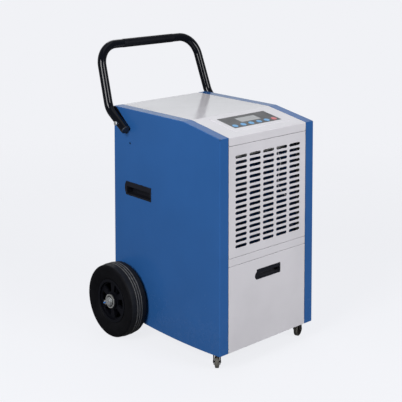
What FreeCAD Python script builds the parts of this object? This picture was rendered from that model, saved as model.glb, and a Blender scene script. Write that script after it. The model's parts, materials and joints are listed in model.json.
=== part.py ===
import FreeCAD, Part
import math
import os

# Wheeled cabinet dehumidifier: sheet steel case, water tank drawer, coils, fan and compressor,
# two large wheels at the back, two casters at the front and a folding push handle.
# X runs across (left is -X), Y from front to back, Z up. Pieces are drawn with y = 0 at the
# case front and z = 0 at the case underside, then moved so that the floor is z = 0 and the
# machine is centred on y = 0. All lengths are in mm.

V = FreeCAD.Vector
ALONG_X, ALONG_Y, ALONG_Z = (1, 0, 0), (0, 1, 0), (0, 0, 1)

# ---------------------------------------------------------------- driving dimensions
BODY_W = 438.8          # case width over the side panels
BODY_D = 548.0          # case depth
BODY_H = 736.8          # case height, flat part of the top
FRONT_H = 705.7         # height of the front edge, below the tilted control face
BREAK_Y = 175.9         # where the tilted face meets the flat top
GROUND = 61.7           # underside of the case above the floor
CENTRE_Y = 321.2        # middle of the whole machine, from the case front
SHEET = 1.5             # sheet steel thickness
FOLD = 1.2              # thickness of folded returns
TRIM = 37.4             # width of the side panels' folded flanges
GAP = 1.7               # joint line between panels
RUN = 0.05              # radial running clearance on shafts

HALF_W = BODY_W / 2
PANEL_HALF = HALF_W - TRIM - GAP    # half width of the panels between the flanges
INNER_X = HALF_W - SHEET            # inner face of the side panels
INNER_BACK = BODY_D - SHEET         # inner face of the rear panel
TILT = math.atan2(BODY_H - FRONT_H, BREAK_Y)
# (y, z) corners of the sheet's inner face: front edge, break, rear edge
CAVITY_TOP = [
    (SHEET, FRONT_H + SHEET * math.tan(TILT) - SHEET / math.cos(TILT)),
    (BREAK_Y + SHEET * math.tan(TILT / 2), BODY_H - SHEET),
    (INNER_BACK, BODY_H - SHEET),
]

LIP_Z = 676.8           # joint under the top cover's front lip
RAIL_Z = 310.2          # joint between louvred panel and mid rail
DRAWER_Z = 283.9        # joint between mid rail and tank drawer
DECK_Z = 290.0          # underside of the inner deck
SKIRT_Z = BODY_H - 24.0  # lower edge of the top cover at the rear

# places shared by several pieces
WHEEL_R = 127.0
WHEEL_Y = 479.0
WHEEL_X0, WHEEL_X1 = 228.0, 298.5   # inner and outer side of the right wheel
AXLE_Z = WHEEL_R - GROUND
AXLE_R = 10.0
PIVOT_Y, PIVOT_Z = 491.4, 686.8     # handle pivot
CASTER_X, CASTER_Y = 190.0, 44.0
FAN_Z = 493.0
FAN_OPENING_R = 150
DRAIN_X, DRAIN_Y = -100, 84         # drain tube under the drip tray
SPIGOT_X, SPIGOT_Z = -120, 70       # drain spigot at the rear
INLET_X, INLET_Z = (99, 147), (92, 120)     # rear panel opening for the power inlet


# ---------------------------------------------------------------- helpers
def span(half):
    """Range centred on zero."""
    return (-half, half)


def grow(limits, amount):
    """Range widened at both ends, or narrowed by a negative amount."""
    return (limits[0] - amount, limits[1] + amount)


def on_side(side, near, far):
    """Range from near to far out from the middle, on the -1 or +1 side."""
    return (near, far) if side > 0 else (-far, -near)


def box(x, y, z):
    """Block filling the (low, high) ranges in x, y and z."""
    return Part.makeBox(x[1] - x[0], y[1] - y[0], z[1] - z[0], V(x[0], y[0], z[0]))


def rod(start, axis, radius, length):
    return Part.makeCylinder(radius, length, V(*start), V(*axis))


def fuse(shapes):
    return shapes[0].multiFuse(shapes[1:]).removeSplitter()


def cut_all(shape, tools):
    return shape.cut(Part.makeCompound(tools))


def fillet_where(shape, radius, test):
    """Round the edges whose bounding box passes the test."""
    return shape.makeFillet(radius, [e for e in shape.Edges if test(e.BoundBox)])


def line(a, b):
    return Part.LineSegment(a, b).toShape()


def arc(a, middle, b):
    return Part.Arc(a, middle, b).toShape()


def face_of(edges):
    return Part.Face(Part.Wire(edges))


def polygon_face(points):
    return Part.Face(Part.makePolygon(points + [points[0]]))


def prism_x(points, x0, x1):
    """Closed (y, z) polygon drawn out along X."""
    return polygon_face([V(x0, y, z) for y, z in points]).extrude(V(x1 - x0, 0, 0))


def prism_y(points, y0, y1):
    """Closed (x, z) polygon drawn out along Y."""
    return polygon_face([V(x, y0, z) for x, z in points]).extrude(V(0, y1 - y0, 0))


def prism_z(points, z0, z1):
    """Closed (x, y) polygon drawn out along Z."""
    return polygon_face([V(x, y, z0) for x, y in points]).extrude(V(0, 0, z1 - z0))


def revolve_x(points, y, z):
    """Closed (x, radius) outline turned about the X-direction line through (y, z)."""
    face = polygon_face([V(x, y, z + radius) for x, radius in points])
    return face.revolve(V(0, y, z), V(1, 0, 0), 360)


def revolve_z(points, x, y):
    """Closed (radius, z) outline turned about the Z-direction line through (x, y)."""
    face = polygon_face([V(x + radius, y, z) for radius, z in points])
    return face.revolve(V(x, y, 0), V(0, 0, 1), 360)


def wheel_ring(points):
    """(x, radius) outline turned about the right wheel's axle."""
    return revolve_x(points, WHEEL_Y, AXLE_Z)


def round_path(points, radii):
    """Wire through the points, each inner corner rounded to its radius."""
    points = [V(*p) for p in points]
    edges = []
    current = points[0]
    for i, radius in enumerate(radii, 1):
        corner = points[i]
        back = (points[i - 1] - corner).normalize()
        ahead = (points[i + 1] - corner).normalize()
        dot = max(-1.0, min(1.0, back.dot(ahead)))
        half_turn = (math.pi - math.acos(dot)) / 2
        tangent = radius * math.tan(half_turn)
        start, end = corner + back * tangent, corner + ahead * tangent
        bisector = (back + ahead).normalize()
        middle = corner + bisector * (radius / math.cos(half_turn) - radius)
        if (start - current).Length > 1e-4:
            edges.append(line(current, start))
        edges.append(arc(start, middle, end))
        current = end
    if (points[-1] - current).Length > 1e-4:
        edges.append(line(current, points[-1]))
    return Part.Wire(edges)


def sweep(points, radii, tube_radius):
    """Solid round bar along a rounded path."""
    direction = V(*points[1]) - V(*points[0])
    circle = Part.Wire([Part.makeCircle(tube_radius, V(*points[0]), direction)])
    solid = round_path(points, radii).makePipeShell([circle], True, False)
    # the sweep may come back as a shell or inside out
    if solid.ShapeType != "Solid":
        solid = Part.Solid(solid)
    if solid.Volume < 0:
        solid.reverse()
    return solid


def mirror_x(shape):
    return shape.mirror(V(0, 0, 0), V(1, 0, 0))


def with_mirror(shape):
    return Part.makeCompound([shape, mirror_x(shape)])


def on_slope(shape):
    """Place a shape drawn with x across, y up the tilted face and z out of it."""
    shape = shape.copy()
    shape.rotate(V(0, 0, 0), V(1, 0, 0), math.degrees(TILT))
    shape.translate(V(0, 0, FRONT_H))
    return shape


def hexagon(x0, x1, y, z, across_flats):
    radius = across_flats / math.sqrt(3)
    angles = [math.radians(60 * k) for k in range(6)]
    return prism_x([(y + radius * math.cos(a), z + radius * math.sin(a)) for a in angles], x0, x1)


# ---------------------------------------------------------------- side panels and hand holds
BELLY_END_Y, BELLY_Z = 489.8, -10.1     # bowed lower edge: rear end and lowest point
GRIP_Y, GRIP_Z = (342.9, 480.1), (431.6, 480.2)
GRIP_BULGE = 7.2                        # bow of the hand hold's rear end


def side_grip_outline(x, inset=0.0):
    """Hand hold outline, straight at the front end and bowed at the rear."""
    y0, y1 = grow(GRIP_Y, -inset)
    z0, z1 = grow(GRIP_Z, -inset)
    return face_of([
        line(V(x, y0, z0), V(x, y1, z0)),
        arc(V(x, y1, z0), V(x, y1 + GRIP_BULGE, (z0 + z1) / 2), V(x, y1, z1)),
        line(V(x, y1, z1), V(x, y0, z1)),
        line(V(x, y0, z1), V(x, y0, z0)),
    ])


def left_side_panel():
    corners = [(0, 0), (0, FRONT_H), (BREAK_Y, BODY_H), (BODY_D, BODY_H), (BODY_D, 0),
               (BELLY_END_Y, 0)]
    points = [V(-HALF_W, y, z) for y, z in corners]
    edges = [line(a, b) for a, b in zip(points, points[1:])]
    edges.append(arc(points[-1], V(-HALF_W, BELLY_END_Y / 2, BELLY_Z), points[0]))
    panel = face_of(edges).extrude(V(TRIM, 0, 0))
    # round the outer face's edges, except along the bottom
    panel = fillet_where(panel, 2.4, lambda b: b.XMax < -HALF_W + 1e-3 and b.ZMax >= 5)
    hollow = [(SHEET, -40)] + CAVITY_TOP + [(INNER_BACK, -40)]
    panel = panel.cut(prism_x(hollow, -HALF_W + SHEET, -HALF_W + TRIM + 5))
    outside = -HALF_W - 5
    return cut_all(panel, [
        side_grip_outline(outside, 3.0).extrude(V(20, 0, 0)),
        rod((outside, WHEEL_Y, AXLE_Z), ALONG_X, AXLE_R + 0.6, 20),
        rod((outside, PIVOT_Y, PIVOT_Z), ALONG_X, 4.3, 20),
        rod((outside, 457.2, 616.8), ALONG_X, 4.0, 20),     # small vent hole
        # bend relief where the folds meet
        rod((-HALF_W + 2.0, -2, FRONT_H - 1.4), ALONG_Y, 2.0, 6),
    ])


def side_grips():
    wall_inset, inner_inset = 3.6, 5.6
    wall_y, wall_z = grow(GRIP_Y, -wall_inset), grow(GRIP_Z, -wall_inset)
    inner_y, inner_z = grow(GRIP_Y, -inner_inset), grow(GRIP_Z, -inner_inset)
    flange = side_grip_outline(-HALF_W - 1.0).extrude(V(1.0, 0, 0))
    cup = box((-HALF_W, -HALF_W + 28), wall_y, wall_z)
    grip = fuse([flange, cup]).cut(box((-HALF_W + 1.0, -HALF_W + 26), inner_y, inner_z))
    # the mouth stops short of the top, leaving a hood
    mouth = box((-HALF_W - 3, -HALF_W + 3), inner_y, (inner_z[0], GRIP_Z[1] - 18.0))
    return with_mirror(grip.cut(mouth))


# ---------------------------------------------------------------- top cover and controls
# x ranges, and ranges up the slope measured from the front edge
BEZEL_X, BEZEL_UP = (-100.5, 118.9), (55.1, 145.4)
WINDOW_X, WINDOW_UP = (-35.4, 54.4), (90.9, 127.6)
PAD_TOP, BEZEL_BOTTOM = 1.5, 0.7        # height off the tilted face
KEY_X = (-83.7, -46.4, -9.8, 27.2, 63.1, 97.8)
KEY_UP, KEY_R = 72.4, 10.2
BOARD_Z = (-7.6, -6.0)


def top_cover():
    lip_z = LIP_Z + GAP / 2
    solid = prism_x([(0, lip_z), (0, FRONT_H), (BREAK_Y, BODY_H), (BODY_D, BODY_H),
                     (BODY_D, SKIRT_Z), (BODY_D - 1, SKIRT_Z), (1, lip_z)], *span(PANEL_HALF))

    def front_or_rear_top(b):
        if abs(b.XLength - 2 * PANEL_HALF) > 0.01:
            return False
        return any(abs(b.YMin - y) < 1e-3 and abs(b.ZMin - z) < 1e-3
                   for y, z in ((0, FRONT_H), (BODY_D, BODY_H)))

    solid = fillet_where(solid, 3.0, front_or_rear_top)
    hollow = [(SHEET, 0)] + CAVITY_TOP + [(INNER_BACK, 0)]
    cover = solid.cut(prism_x(hollow, *span(PANEL_HALF + 5)))
    # downturned side returns
    return_h = 18
    return_outline = CAVITY_TOP + [(INNER_BACK, BODY_H - return_h), (BREAK_Y, BODY_H - return_h),
                                   (SHEET, FRONT_H - return_h)]
    for side in (-1, 1):
        limits = on_side(side, PANEL_HALF - FOLD, PANEL_HALF)
        cover = cover.fuse(prism_x(return_outline, *limits))
    # folded-in lower edge of the front lip
    cover = cover.fuse(box(span(PANEL_HALF), (SHEET, 14), (lip_z, lip_z + FOLD)))
    # raised surround of the controls, with four bosses and an opening
    pad = box((-121.4, 140.8), (34.7, 162.0), (-0.7, PAD_TOP))
    pad = fillet_where(pad, 1.4, lambda b: b.ZMin > PAD_TOP - 0.1 and b.ZLength < 0.01)
    bezel_seat = box(grow(BEZEL_X, 0.15), grow(BEZEL_UP, 0.15), (BEZEL_BOTTOM, 3.7))
    opening = box((-97.0, 115.4), (58.6, 142.0), (-10, 10))
    bosses = [rod((x, up, BOARD_Z[1]), ALONG_Z, 3.2, 4.6) for x in (-104, 122)
              for up in (53.5, 147)]
    cover = cover.fuse(on_slope(pad)).multiFuse([on_slope(boss) for boss in bosses])
    return cover.cut(on_slope(bezel_seat)).cut(on_slope(opening)).removeSplitter()


def control_bezel():
    bezel = box(BEZEL_X, BEZEL_UP, (BEZEL_BOTTOM, 1.5))
    bezel = fillet_where(bezel, 1.5, lambda b: b.ZLength > 0.5)
    holes = [rod((x, KEY_UP, -1), ALONG_Z, KEY_R + 0.25, 4) for x in KEY_X]
    holes.append(box(grow(WINDOW_X, 0.1), grow(WINDOW_UP, 0.1), (-1, 3)))
    return on_slope(cut_all(bezel, holes))


def display_window():
    return on_slope(box(WINDOW_X, WINDOW_UP, (0.75, 1.45)))


def key(x):
    cap = rod((x, KEY_UP, 0.3), ALONG_Z, KEY_R, 2.2)
    cap = fillet_where(cap, 0.7, lambda b: b.ZMin > 2.4 and b.ZLength < 0.01)
    flange = rod((x, KEY_UP, -0.45), ALONG_Z, KEY_R + 1.0, 1.0)
    stem = rod((x, KEY_UP, -1.5), ALONG_Z, 3.0, 1.1)
    return on_slope(fuse([cap, flange, stem]))


def control_board():
    top = -6.1      # parts on the board sink slightly into it
    bodies = [box((-109, 127), (48.5, 152.5), BOARD_Z)]
    for x in KEY_X:
        bodies.append(box((x - 3.5, x + 3.5), (KEY_UP - 3.5, KEY_UP + 3.5), (top, -3.5)))
        bodies.append(rod((x, KEY_UP, -3.6), ALONG_Z, 1.8, 0.9))
    bodies.append(box(grow(WINDOW_X, 4), grow(WINDOW_UP, 4), (top, 0.3)))
    # two blocks under the board
    bodies.append(box((78, 104), (118, 130), (-15.5, -6.5)))
    bodies.append(box((-82, -64), (112, 130), (-10.5, -7.5)))
    return on_slope(fuse(bodies))


# ---------------------------------------------------------------- front panels
LOUVRE_SHEET = 0.8      # louvred front sheet
SLOT_COLS, SLOT_ROWS = 5, 17
SLOT_PITCH_X, SLOT_PITCH_Z = 62.75, 18.33
SLOT_X0, SLOT_Z0 = -124.9, 638.2        # centre of the top left slot
SLOT_LEN, SLOT_H = 51.4, 10.0

PULL_X, PULL_Z = (-53.2, 58.2), (213.9, 247.5)
PULL_BULGE = 7.6        # bow of the pull's left end
PULL_BOW_SHARE = 0.76   # share of the pull's height taken by the bow


def tray_panel(z0, z1, depth, thickness=SHEET):
    """Front sheet with folded returns on all four sides."""
    panel = box(span(PANEL_HALF), (0, depth), (z0, z1))
    panel = fillet_where(panel, 0.7, lambda b: b.YMax < 1e-3)
    return panel.cut(box(span(PANEL_HALF - FOLD), (thickness, depth + 5), (z0 + FOLD, z1 - FOLD)))


def slot(x, z, y0, y1):
    """Round-ended slot through a front-facing sheet."""
    radius = SLOT_H / 2
    half = SLOT_LEN / 2 - radius
    upper_left, upper_right = V(x - half, y0, z + radius), V(x + half, y0, z + radius)
    lower_left, lower_right = V(x - half, y0, z - radius), V(x + half, y0, z - radius)
    outline = face_of([
        line(upper_left, upper_right),
        arc(upper_right, V(x + half + radius, y0, z), lower_right),
        line(lower_right, lower_left),
        arc(lower_left, V(x - half - radius, y0, z), upper_left),
    ])
    return outline.extrude(V(0, y1 - y0, 0))


def front_grille_panel():
    panel = tray_panel(RAIL_Z + GAP / 2, LIP_Z - GAP / 2, 12, LOUVRE_SHEET)
    return cut_all(panel, [
        slot(SLOT_X0 + SLOT_PITCH_X * column, SLOT_Z0 - SLOT_PITCH_Z * row, -2, 4)
        for column in range(SLOT_COLS) for row in range(SLOT_ROWS)])


def mid_rail():
    return tray_panel(DRAWER_Z + GAP / 2, RAIL_Z - GAP / 2, 17.5)


def pull_outline(y, inset=0.0):
    """Drawer pull outline, with the lower part of its left end bowed."""
    x0, x1 = grow(PULL_X, -inset)
    z0, z1 = grow(PULL_Z, -inset)
    bow_h = PULL_BOW_SHARE * (z1 - z0)
    bow_top = V(x0, y, z0 + bow_h)
    return face_of([
        line(V(x0, y, z0), V(x1, y, z0)),
        line(V(x1, y, z0), V(x1, y, z1)),
        line(V(x1, y, z1), V(x0, y, z1)),
        line(V(x0, y, z1), bow_top),
        arc(bow_top, V(x0 - PULL_BULGE, y, z0 + 0.5 * bow_h), V(x0, y, z0)),
    ])


def drawer_front():
    opening = pull_outline(-5, 2.5).extrude(V(0, 20, 0))
    return tray_panel(0.0, DRAWER_Z - GAP / 2, 20).cut(opening)


def drawer_pull():
    """Thin flange with a cup behind it and a hood over the top of the mouth."""
    inner_x, inner_z = grow(PULL_X, -5.2), grow(PULL_Z, -5.2)
    flange = pull_outline(-1.0).extrude(V(0, 1.0, 0))
    cup = box(grow(PULL_X, -3.2), (0, 26), grow(PULL_Z, -3.2))
    mouth = box(inner_x, (-3, 3), (inner_z[0], PULL_Z[1] - 12.5))
    return fuse([flange, cup]).cut(box(inner_x, (1.0, 24), inner_z)).cut(mouth)


# ---------------------------------------------------------------- water tank and float
FLOAT_Y, FLOAT_Z = 300.0, 236.0     # float pivot
FLOAT_PIN_R = 2.0
FLOAT_DEG = 24                      # turn of the arm about its pivot


def water_tank():
    half_x, depth, height, wall = 166, (27, 318), (10, 258), 2.5
    tank = box(span(half_x), depth, height)
    tank = fillet_where(tank, 14, lambda b: abs(b.ZLength - (height[1] - height[0])) < 0.01)
    inside = box(span(half_x - wall), grow(depth, -wall), (height[0] + wall, 300))
    inside = fillet_where(inside, 14 - wall, lambda b: b.ZLength > 280)
    rim = box(span(half_x + 4), grow(depth, 4), (254, height[1]))
    rim = fillet_where(rim, 16, lambda b: abs(b.ZLength - 4) < 0.01)
    tank = tank.fuse(rim).cut(inside)
    # lugs and pin for the float
    lug_y, lug_z = (292, 317), (226, 242)
    pin = rod((108, FLOAT_Y, FLOAT_Z), ALONG_X, FLOAT_PIN_R, 32)
    tank = fuse([tank, box((108, 111), lug_y, lug_z), box((137, 140), lug_y, lug_z), pin])
    # front brackets, trimmed flush with the drawer front's returns
    brackets = [box(on_side(side, 110, 150), (18, 27), (120, 150)) for side in (-1, 1)]
    return fuse([tank] + brackets).cut(box(span(200), (0, 20.0), (0, 300)))


def float_arm():
    """Rounded block on a short arm, hung from the tank's pin."""
    pivot = V(0, FLOAT_Y, FLOAT_Z)
    arm = fuse([rod((114, FLOAT_Y, FLOAT_Z), ALONG_X, 5.0, 20),
                box((119, 129), (FLOAT_Y - 62, FLOAT_Y), (FLOAT_Z - 2.5, FLOAT_Z + 2.5))])
    arm.rotate(pivot, V(1, 0, 0), FLOAT_DEG)
    block = box((104, 144), (FLOAT_Y - 96, FLOAT_Y - 60), (FLOAT_Z - 9, FLOAT_Z + 9))
    block = block.makeFillet(4, block.Edges)
    block.rotate(pivot, V(1, 0, 0), FLOAT_DEG)
    hole = rod((100, FLOAT_Y, FLOAT_Z), ALONG_X, FLOAT_PIN_R + RUN, 60)
    return fuse([arm, block]).cut(hole)


def float_switch():
    return fuse([box((112, 136), (326, 333), (236, 276)), box((118, 130), (322.6, 326), (240, 252))])


# ---------------------------------------------------------------- base, deck, rear
FLOOR_T = 2         # base tray floor
TRAY_H = 26         # base tray walls


def base_tray():
    depth, wall_z = (26, INNER_BACK), (FLOOR_T, TRAY_H)
    tray = box(span(INNER_X), depth, (0, FLOOR_T))
    for side in (-1, 1):
        tray = tray.fuse(box(on_side(side, INNER_X - 1.5, INNER_X), depth, wall_z))
    tray = tray.fuse(box(span(INNER_X), (BODY_D - 3, INNER_BACK), wall_z))
    # guide rails and ledges either side of the tank
    guide_y = (30, 322)
    for side in (-1, 1):
        tray = tray.fuse(box(on_side(side, 184, 186), guide_y, (FLOOR_T, 40)))
        tray = tray.fuse(box(on_side(side, 168, 186), guide_y, (FLOOR_T, 9.5)))
    for side in (-1, 1):
        tray = tray.cut(rod((side * CASTER_X, CASTER_Y, -5), ALONG_Z, 4.2, 20))
    return tray.removeSplitter()


def deck_bulkhead():
    """Deck over the tank, the wall behind it and a foot flange on the base tray."""
    wall_y, narrow, step_z = (333, 334.5), span(INNER_X - 1.6), 26.2
    deck = box(span(INNER_X), (21, wall_y[1]), (DECK_Z, DECK_Z + 1.5))
    deck = deck.fuse(box(span(INNER_X), wall_y, (step_z, DECK_Z)))
    deck = deck.fuse(box(narrow, wall_y, (FLOOR_T, step_z)))
    deck = deck.fuse(box(narrow, (wall_y[1], 350), (FLOOR_T, 3.5)))
    return deck.cut(rod((DRAIN_X, DRAIN_Y, DECK_Z - 5), ALONG_Z, 8.0, 12)).removeSplitter()


def rear_panel():
    bottom, return_y = 27, (BODY_D - 14, INNER_BACK)
    panel = box(span(PANEL_HALF), (INNER_BACK, BODY_D), (bottom, SKIRT_Z - GAP))
    panel = panel.cut(rod((0, BODY_D - 5, FAN_Z), ALONG_Y, FAN_OPENING_R, 10))
    panel = panel.cut(rod((SPIGOT_X, BODY_D - 5, SPIGOT_Z), ALONG_Y, 8.3, 10))
    panel = panel.cut(box(INLET_X, (BODY_D - 5, BODY_D + 5), INLET_Z))
    panel = panel.fuse(box(span(PANEL_HALF), return_y, (bottom, bottom + FOLD)))
    for side in (-1, 1):
        side_x = on_side(side, PANEL_HALF - FOLD, PANEL_HALF)
        panel = panel.fuse(box(side_x, return_y, (bottom, BODY_H - 25)))
    return panel.removeSplitter()


def rear_guard():
    """Wire rings, four full-width spokes and a centre disc over the fan opening."""
    wire_r, reach = 1.5, 158
    bodies = [Part.makeTorus(ring_r, wire_r, V(0, BODY_D + 2 * wire_r, FAN_Z), V(0, 1, 0))
              for ring_r in (28, 52, 76, 100, 124, 148, 156)]
    for k in range(4):
        angle = math.radians(45 * k + 22.5)
        across, up = math.cos(angle), math.sin(angle)
        start = (-reach * across, BODY_D + 2.0, FAN_Z - reach * up)
        bodies.append(rod(start, (across, 0, up), wire_r, 2 * reach))
    bodies.append(rod((0, BODY_D + 0.6, FAN_Z), ALONG_Y, 29, 1.6))
    return fuse(bodies)


# ---------------------------------------------------------------- coils
COIL_X = 165.0                  # half length of the fin packs
COIL_Z = (318.0, 630.0)
PASSES = 10
PASS_MARGIN = 20                # first and last pass from the fin ends
PASS_PITCH = (COIL_Z[1] - COIL_Z[0] - 2 * PASS_MARGIN) / (PASSES - 1)
PASS_Z = [COIL_Z[0] + PASS_MARGIN + i * PASS_PITCH for i in range(PASSES)]
EVAPORATOR_Y, EVAPORATOR_ROWS = (22.0, 60.0), (31.0, 51.0)
CONDENSER_Y, CONDENSER_ROWS = (68.0, 106.0), (77.0, 97.0)
PIPE_R = 4.75
PIPE_HOLE_R = PIPE_R + 0.15
END_X = COIL_X + 4.0            # outer face of the end plates
FIN_T, FIN_COUNT = 0.8, 42


def fin_pack(depth, rows):
    fin = box((0, FIN_T), depth, COIL_Z)
    fin = cut_all(fin, [rod((-2, y, z), ALONG_X, PIPE_HOLE_R, 6) for y in rows for z in PASS_Z])
    pack = []
    for i in range(FIN_COUNT):
        copy = fin.copy()
        copy.translate(V(-COIL_X + i * (2 * COIL_X - FIN_T) / (FIN_COUNT - 1), 0, 0))
        pack.append(copy)
    return Part.makeCompound(pack)


def coil_end_plates():
    plate_t, depth, height, flange_y = 1.5, (18, 110), (300, 672), (18, 19.2)
    plates = []
    for side in (-1, 1):
        plate_x = on_side(side, END_X - plate_t, END_X)
        plate = box(plate_x, depth, height)
        plate = plate.fuse(box(on_side(side, END_X - 14, END_X), flange_y, height))
        plate = cut_all(plate, [rod((plate_x[0] - 20, y, z), ALONG_X, PIPE_HOLE_R, 40)
                                for y in EVAPORATOR_ROWS + CONDENSER_ROWS for z in PASS_Z])
        plates.append(plate.removeSplitter())
    # angle strip over the fins, joined to the left plate
    strip_x, strip_z = (-END_X + 1.6, 95), (643.8, 645.0)
    strip = box(strip_x, flange_y, (631.5, 645.0)).fuse(box(strip_x, depth, strip_z))
    joint = box((-END_X + 1.0, -END_X + 1.7), depth, strip_z)
    plates[0] = plates[0].fuse(strip.fuse(joint)).removeSplitter()
    return Part.makeCompound(plates)


def serpentine(y):
    """One coil row: straight passes joined by return bends at alternate ends."""
    pitch = PASS_Z[1] - PASS_Z[0]
    straight_x = END_X + 2.0
    points = [(-(straight_x + 6), y, PASS_Z[0])]
    side = 1
    for low, high in zip(PASS_Z, PASS_Z[1:]):
        bend_x = side * (straight_x + pitch / 2)
        points += [(bend_x, y, low), (bend_x, y, high)]
        side = -side
    points.append((side * (straight_x + 6), y, PASS_Z[-1]))
    # a hair under half the pitch leaves a straight between the two corners of a bend
    return sweep(points, [pitch / 2 - 0.001] * (len(points) - 2), PIPE_R)


def drip_tray():
    wall, width, depth, bottom = 1.5, span(178), (17, 112), 292
    tray = box(width, depth, (bottom, 299))
    tray = tray.cut(box(grow(width, -wall), grow(depth, -wall), (bottom + wall, 320)))
    tray = tray.fuse(rod((DRAIN_X, DRAIN_Y, bottom), ALONG_Z, 8.8, 3))
    return tray.cut(rod((DRAIN_X, DRAIN_Y, 280), ALONG_Z, 7.05, 40)).removeSplitter()


def drain_tube():
    return rod((DRAIN_X, DRAIN_Y, 264), ALONG_Z, 7.0, 32).cut(
        rod((DRAIN_X, DRAIN_Y, 260), ALONG_Z, 5.2, 50))


def air_filter():
    """Frame with an open lattice, close behind the louvres."""
    half_bar, bar_y = 0.6, (13.8, 15.2)
    frame = box(span(172), (13, 16), (314, 670)).cut(box(span(162), (10, 20), (324, 660)))
    bars = [box((x - half_bar, x + half_bar), bar_y, (320, 664))
            for x in [-162 + 27 * k for k in range(1, 12)]]
    bars += [box(span(166), bar_y, (z - half_bar, z + half_bar))
             for z in [324 + 28 * k for k in range(1, 12)]]
    return fuse([frame] + bars)


# ---------------------------------------------------------------- fan
FAN_R = 146.0
MOTOR_R = 48.0
MOTOR_BACK = 246
SHAFT_R = 4.0
# blade stations: radius, pitch in degrees, half chord, camber
BLADE_STATIONS = [(26, 42, 26, 3), (80, 31, 42, 4), (FAN_R - 3, 24, 52, 5)]
BLADE_HALF_T = 1.0
CHORD_X_SCALE, CHORD_Y_SCALE = 0.62, 0.40   # flatten the chord across and along the axis


def fan_shroud():
    opening = rod((0, 100, FAN_Z), ALONG_Y, FAN_OPENING_R, 60)
    shroud = box(span(178), (110.5, 130), (304, 676))
    shroud = shroud.cut(box(span(176.5), (100, 128.5), (305.5, 674.5))).cut(opening)
    ring = rod((0, 128.5, FAN_Z), ALONG_Y, FAN_OPENING_R + 2, 42).cut(
        rod((0, 120, FAN_Z), ALONG_Y, FAN_OPENING_R, 60))
    arms = []
    for k in range(4):
        arm = box((50, 151), (167, 170), (-5, 5))
        arm.rotate(V(0, 0, 0), V(0, 1, 0), -(45 + 90 * k))
        arm.translate(V(0, 0, FAN_Z))
        arms.append(arm)
    motor_ring = rod((0, 167, FAN_Z), ALONG_Y, MOTOR_R + 6, 8).cut(
        rod((0, 160, FAN_Z), ALONG_Y, MOTOR_R, 20))
    shroud = fuse([shroud, ring, motor_ring] + arms)
    lower_skirt = box(span(176.5), (112.3, 130), (291.5, 304.5)).cut(
        box(span(170), (100, 128.5), (290, 310)))
    return shroud.fuse(lower_skirt).removeSplitter()


def fan_motor():
    # (front y, radius, length) of the body, rear boss, front boss and shaft
    stages = [(168, MOTOR_R, 78), (MOTOR_BACK, 18, 6), (162, 16, 6), (134, SHAFT_R, 30)]
    motor = fuse([rod((0, y, FAN_Z), ALONG_Y, radius, length) for y, radius, length in stages])
    return fillet_where(motor, 5, lambda b: abs(b.YMin - MOTOR_BACK) < 1e-3 and b.XLength > 90)


def blade(index):
    """Twisted fan blade lofted from root to tip."""
    chord_steps = (-1, -0.5, 0, 0.5, 1)
    sections = []
    for radius, pitch_deg, half_chord, camber in BLADE_STATIONS:
        pitch = math.radians(pitch_deg)
        profile = [(u * half_chord, camber * (1 - u * u) + BLADE_HALF_T) for u in chord_steps]
        profile += [(u * half_chord, camber * (1 - u * u) - BLADE_HALF_T)
                    for u in reversed(chord_steps)]
        points = []
        for chord, normal in profile:
            x = chord * math.cos(pitch) * CHORD_X_SCALE - normal * math.sin(pitch)
            y = chord * math.sin(pitch) * CHORD_Y_SCALE + normal * math.cos(pitch)
            points.append(V(x, y, radius))
        sections.append(Part.makePolygon(points + [points[0]]))
    body = Part.makeLoft(sections, True, True)
    body.translate(V(0, 150, 0))
    body.rotate(V(0, 0, 0), V(0, 1, 0), 72 * index)
    body.translate(V(0, 0, FAN_Z))
    return body


def fan_blade():
    hub = rod((0, 136, FAN_Z), ALONG_Y, 30, 24)
    hub = fillet_where(hub, 3, lambda b: b.YLength < 0.01 and b.YMin < 137)
    fan = fuse([hub] + [blade(k) for k in range(5)])
    fan = fan.common(rod((0, 120, FAN_Z), ALONG_Y, FAN_R, 60))
    return fan.cut(rod((0, 130, FAN_Z), ALONG_Y, SHAFT_R + RUN, 40))


# ---------------------------------------------------------------- refrigeration machine
COMP_X, COMP_Y = 62.0, 420.0
ACCUMULATOR_X = COMP_X - 96
DRIER_X, DRIER_Y = -203, 160
CAPILLARY_R = 3.2
# (radius, z) outlines
CAN_OUTLINE = [(0.0, 34), (46, 34), (58, 42), (61, 52), (61, 214), (56, 228), (38, 240),
               (14, 245), (0.0, 245)]
ACCUMULATOR_OUTLINE = [(0.0, 62), (14, 64), (25, 76), (26, 84), (26, 196), (22, 208),
                       (10, 214), (0.0, 214)]
MOUNT_OUTLINE = [(3.2, 2), (13, 2), (13, 10), (10, 12), (10, 27), (12, 29.95), (3.2, 29.95)]
DRIER_OUTLINE = [(0.0, 400), (4.7, 400), (4.7, 408), (12, 418), (12, 470), (4.7, 480),
                 (4.7, 490), (0.0, 490)]


def around_compressor(radius):
    """Three (x, y) points evenly spaced round the compressor."""
    angles = [math.radians(degrees) for degrees in (90, 210, 330)]
    return [(COMP_X + radius * math.cos(a), COMP_Y + radius * math.sin(a)) for a in angles]


MOUNTS = around_compressor(76)


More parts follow.
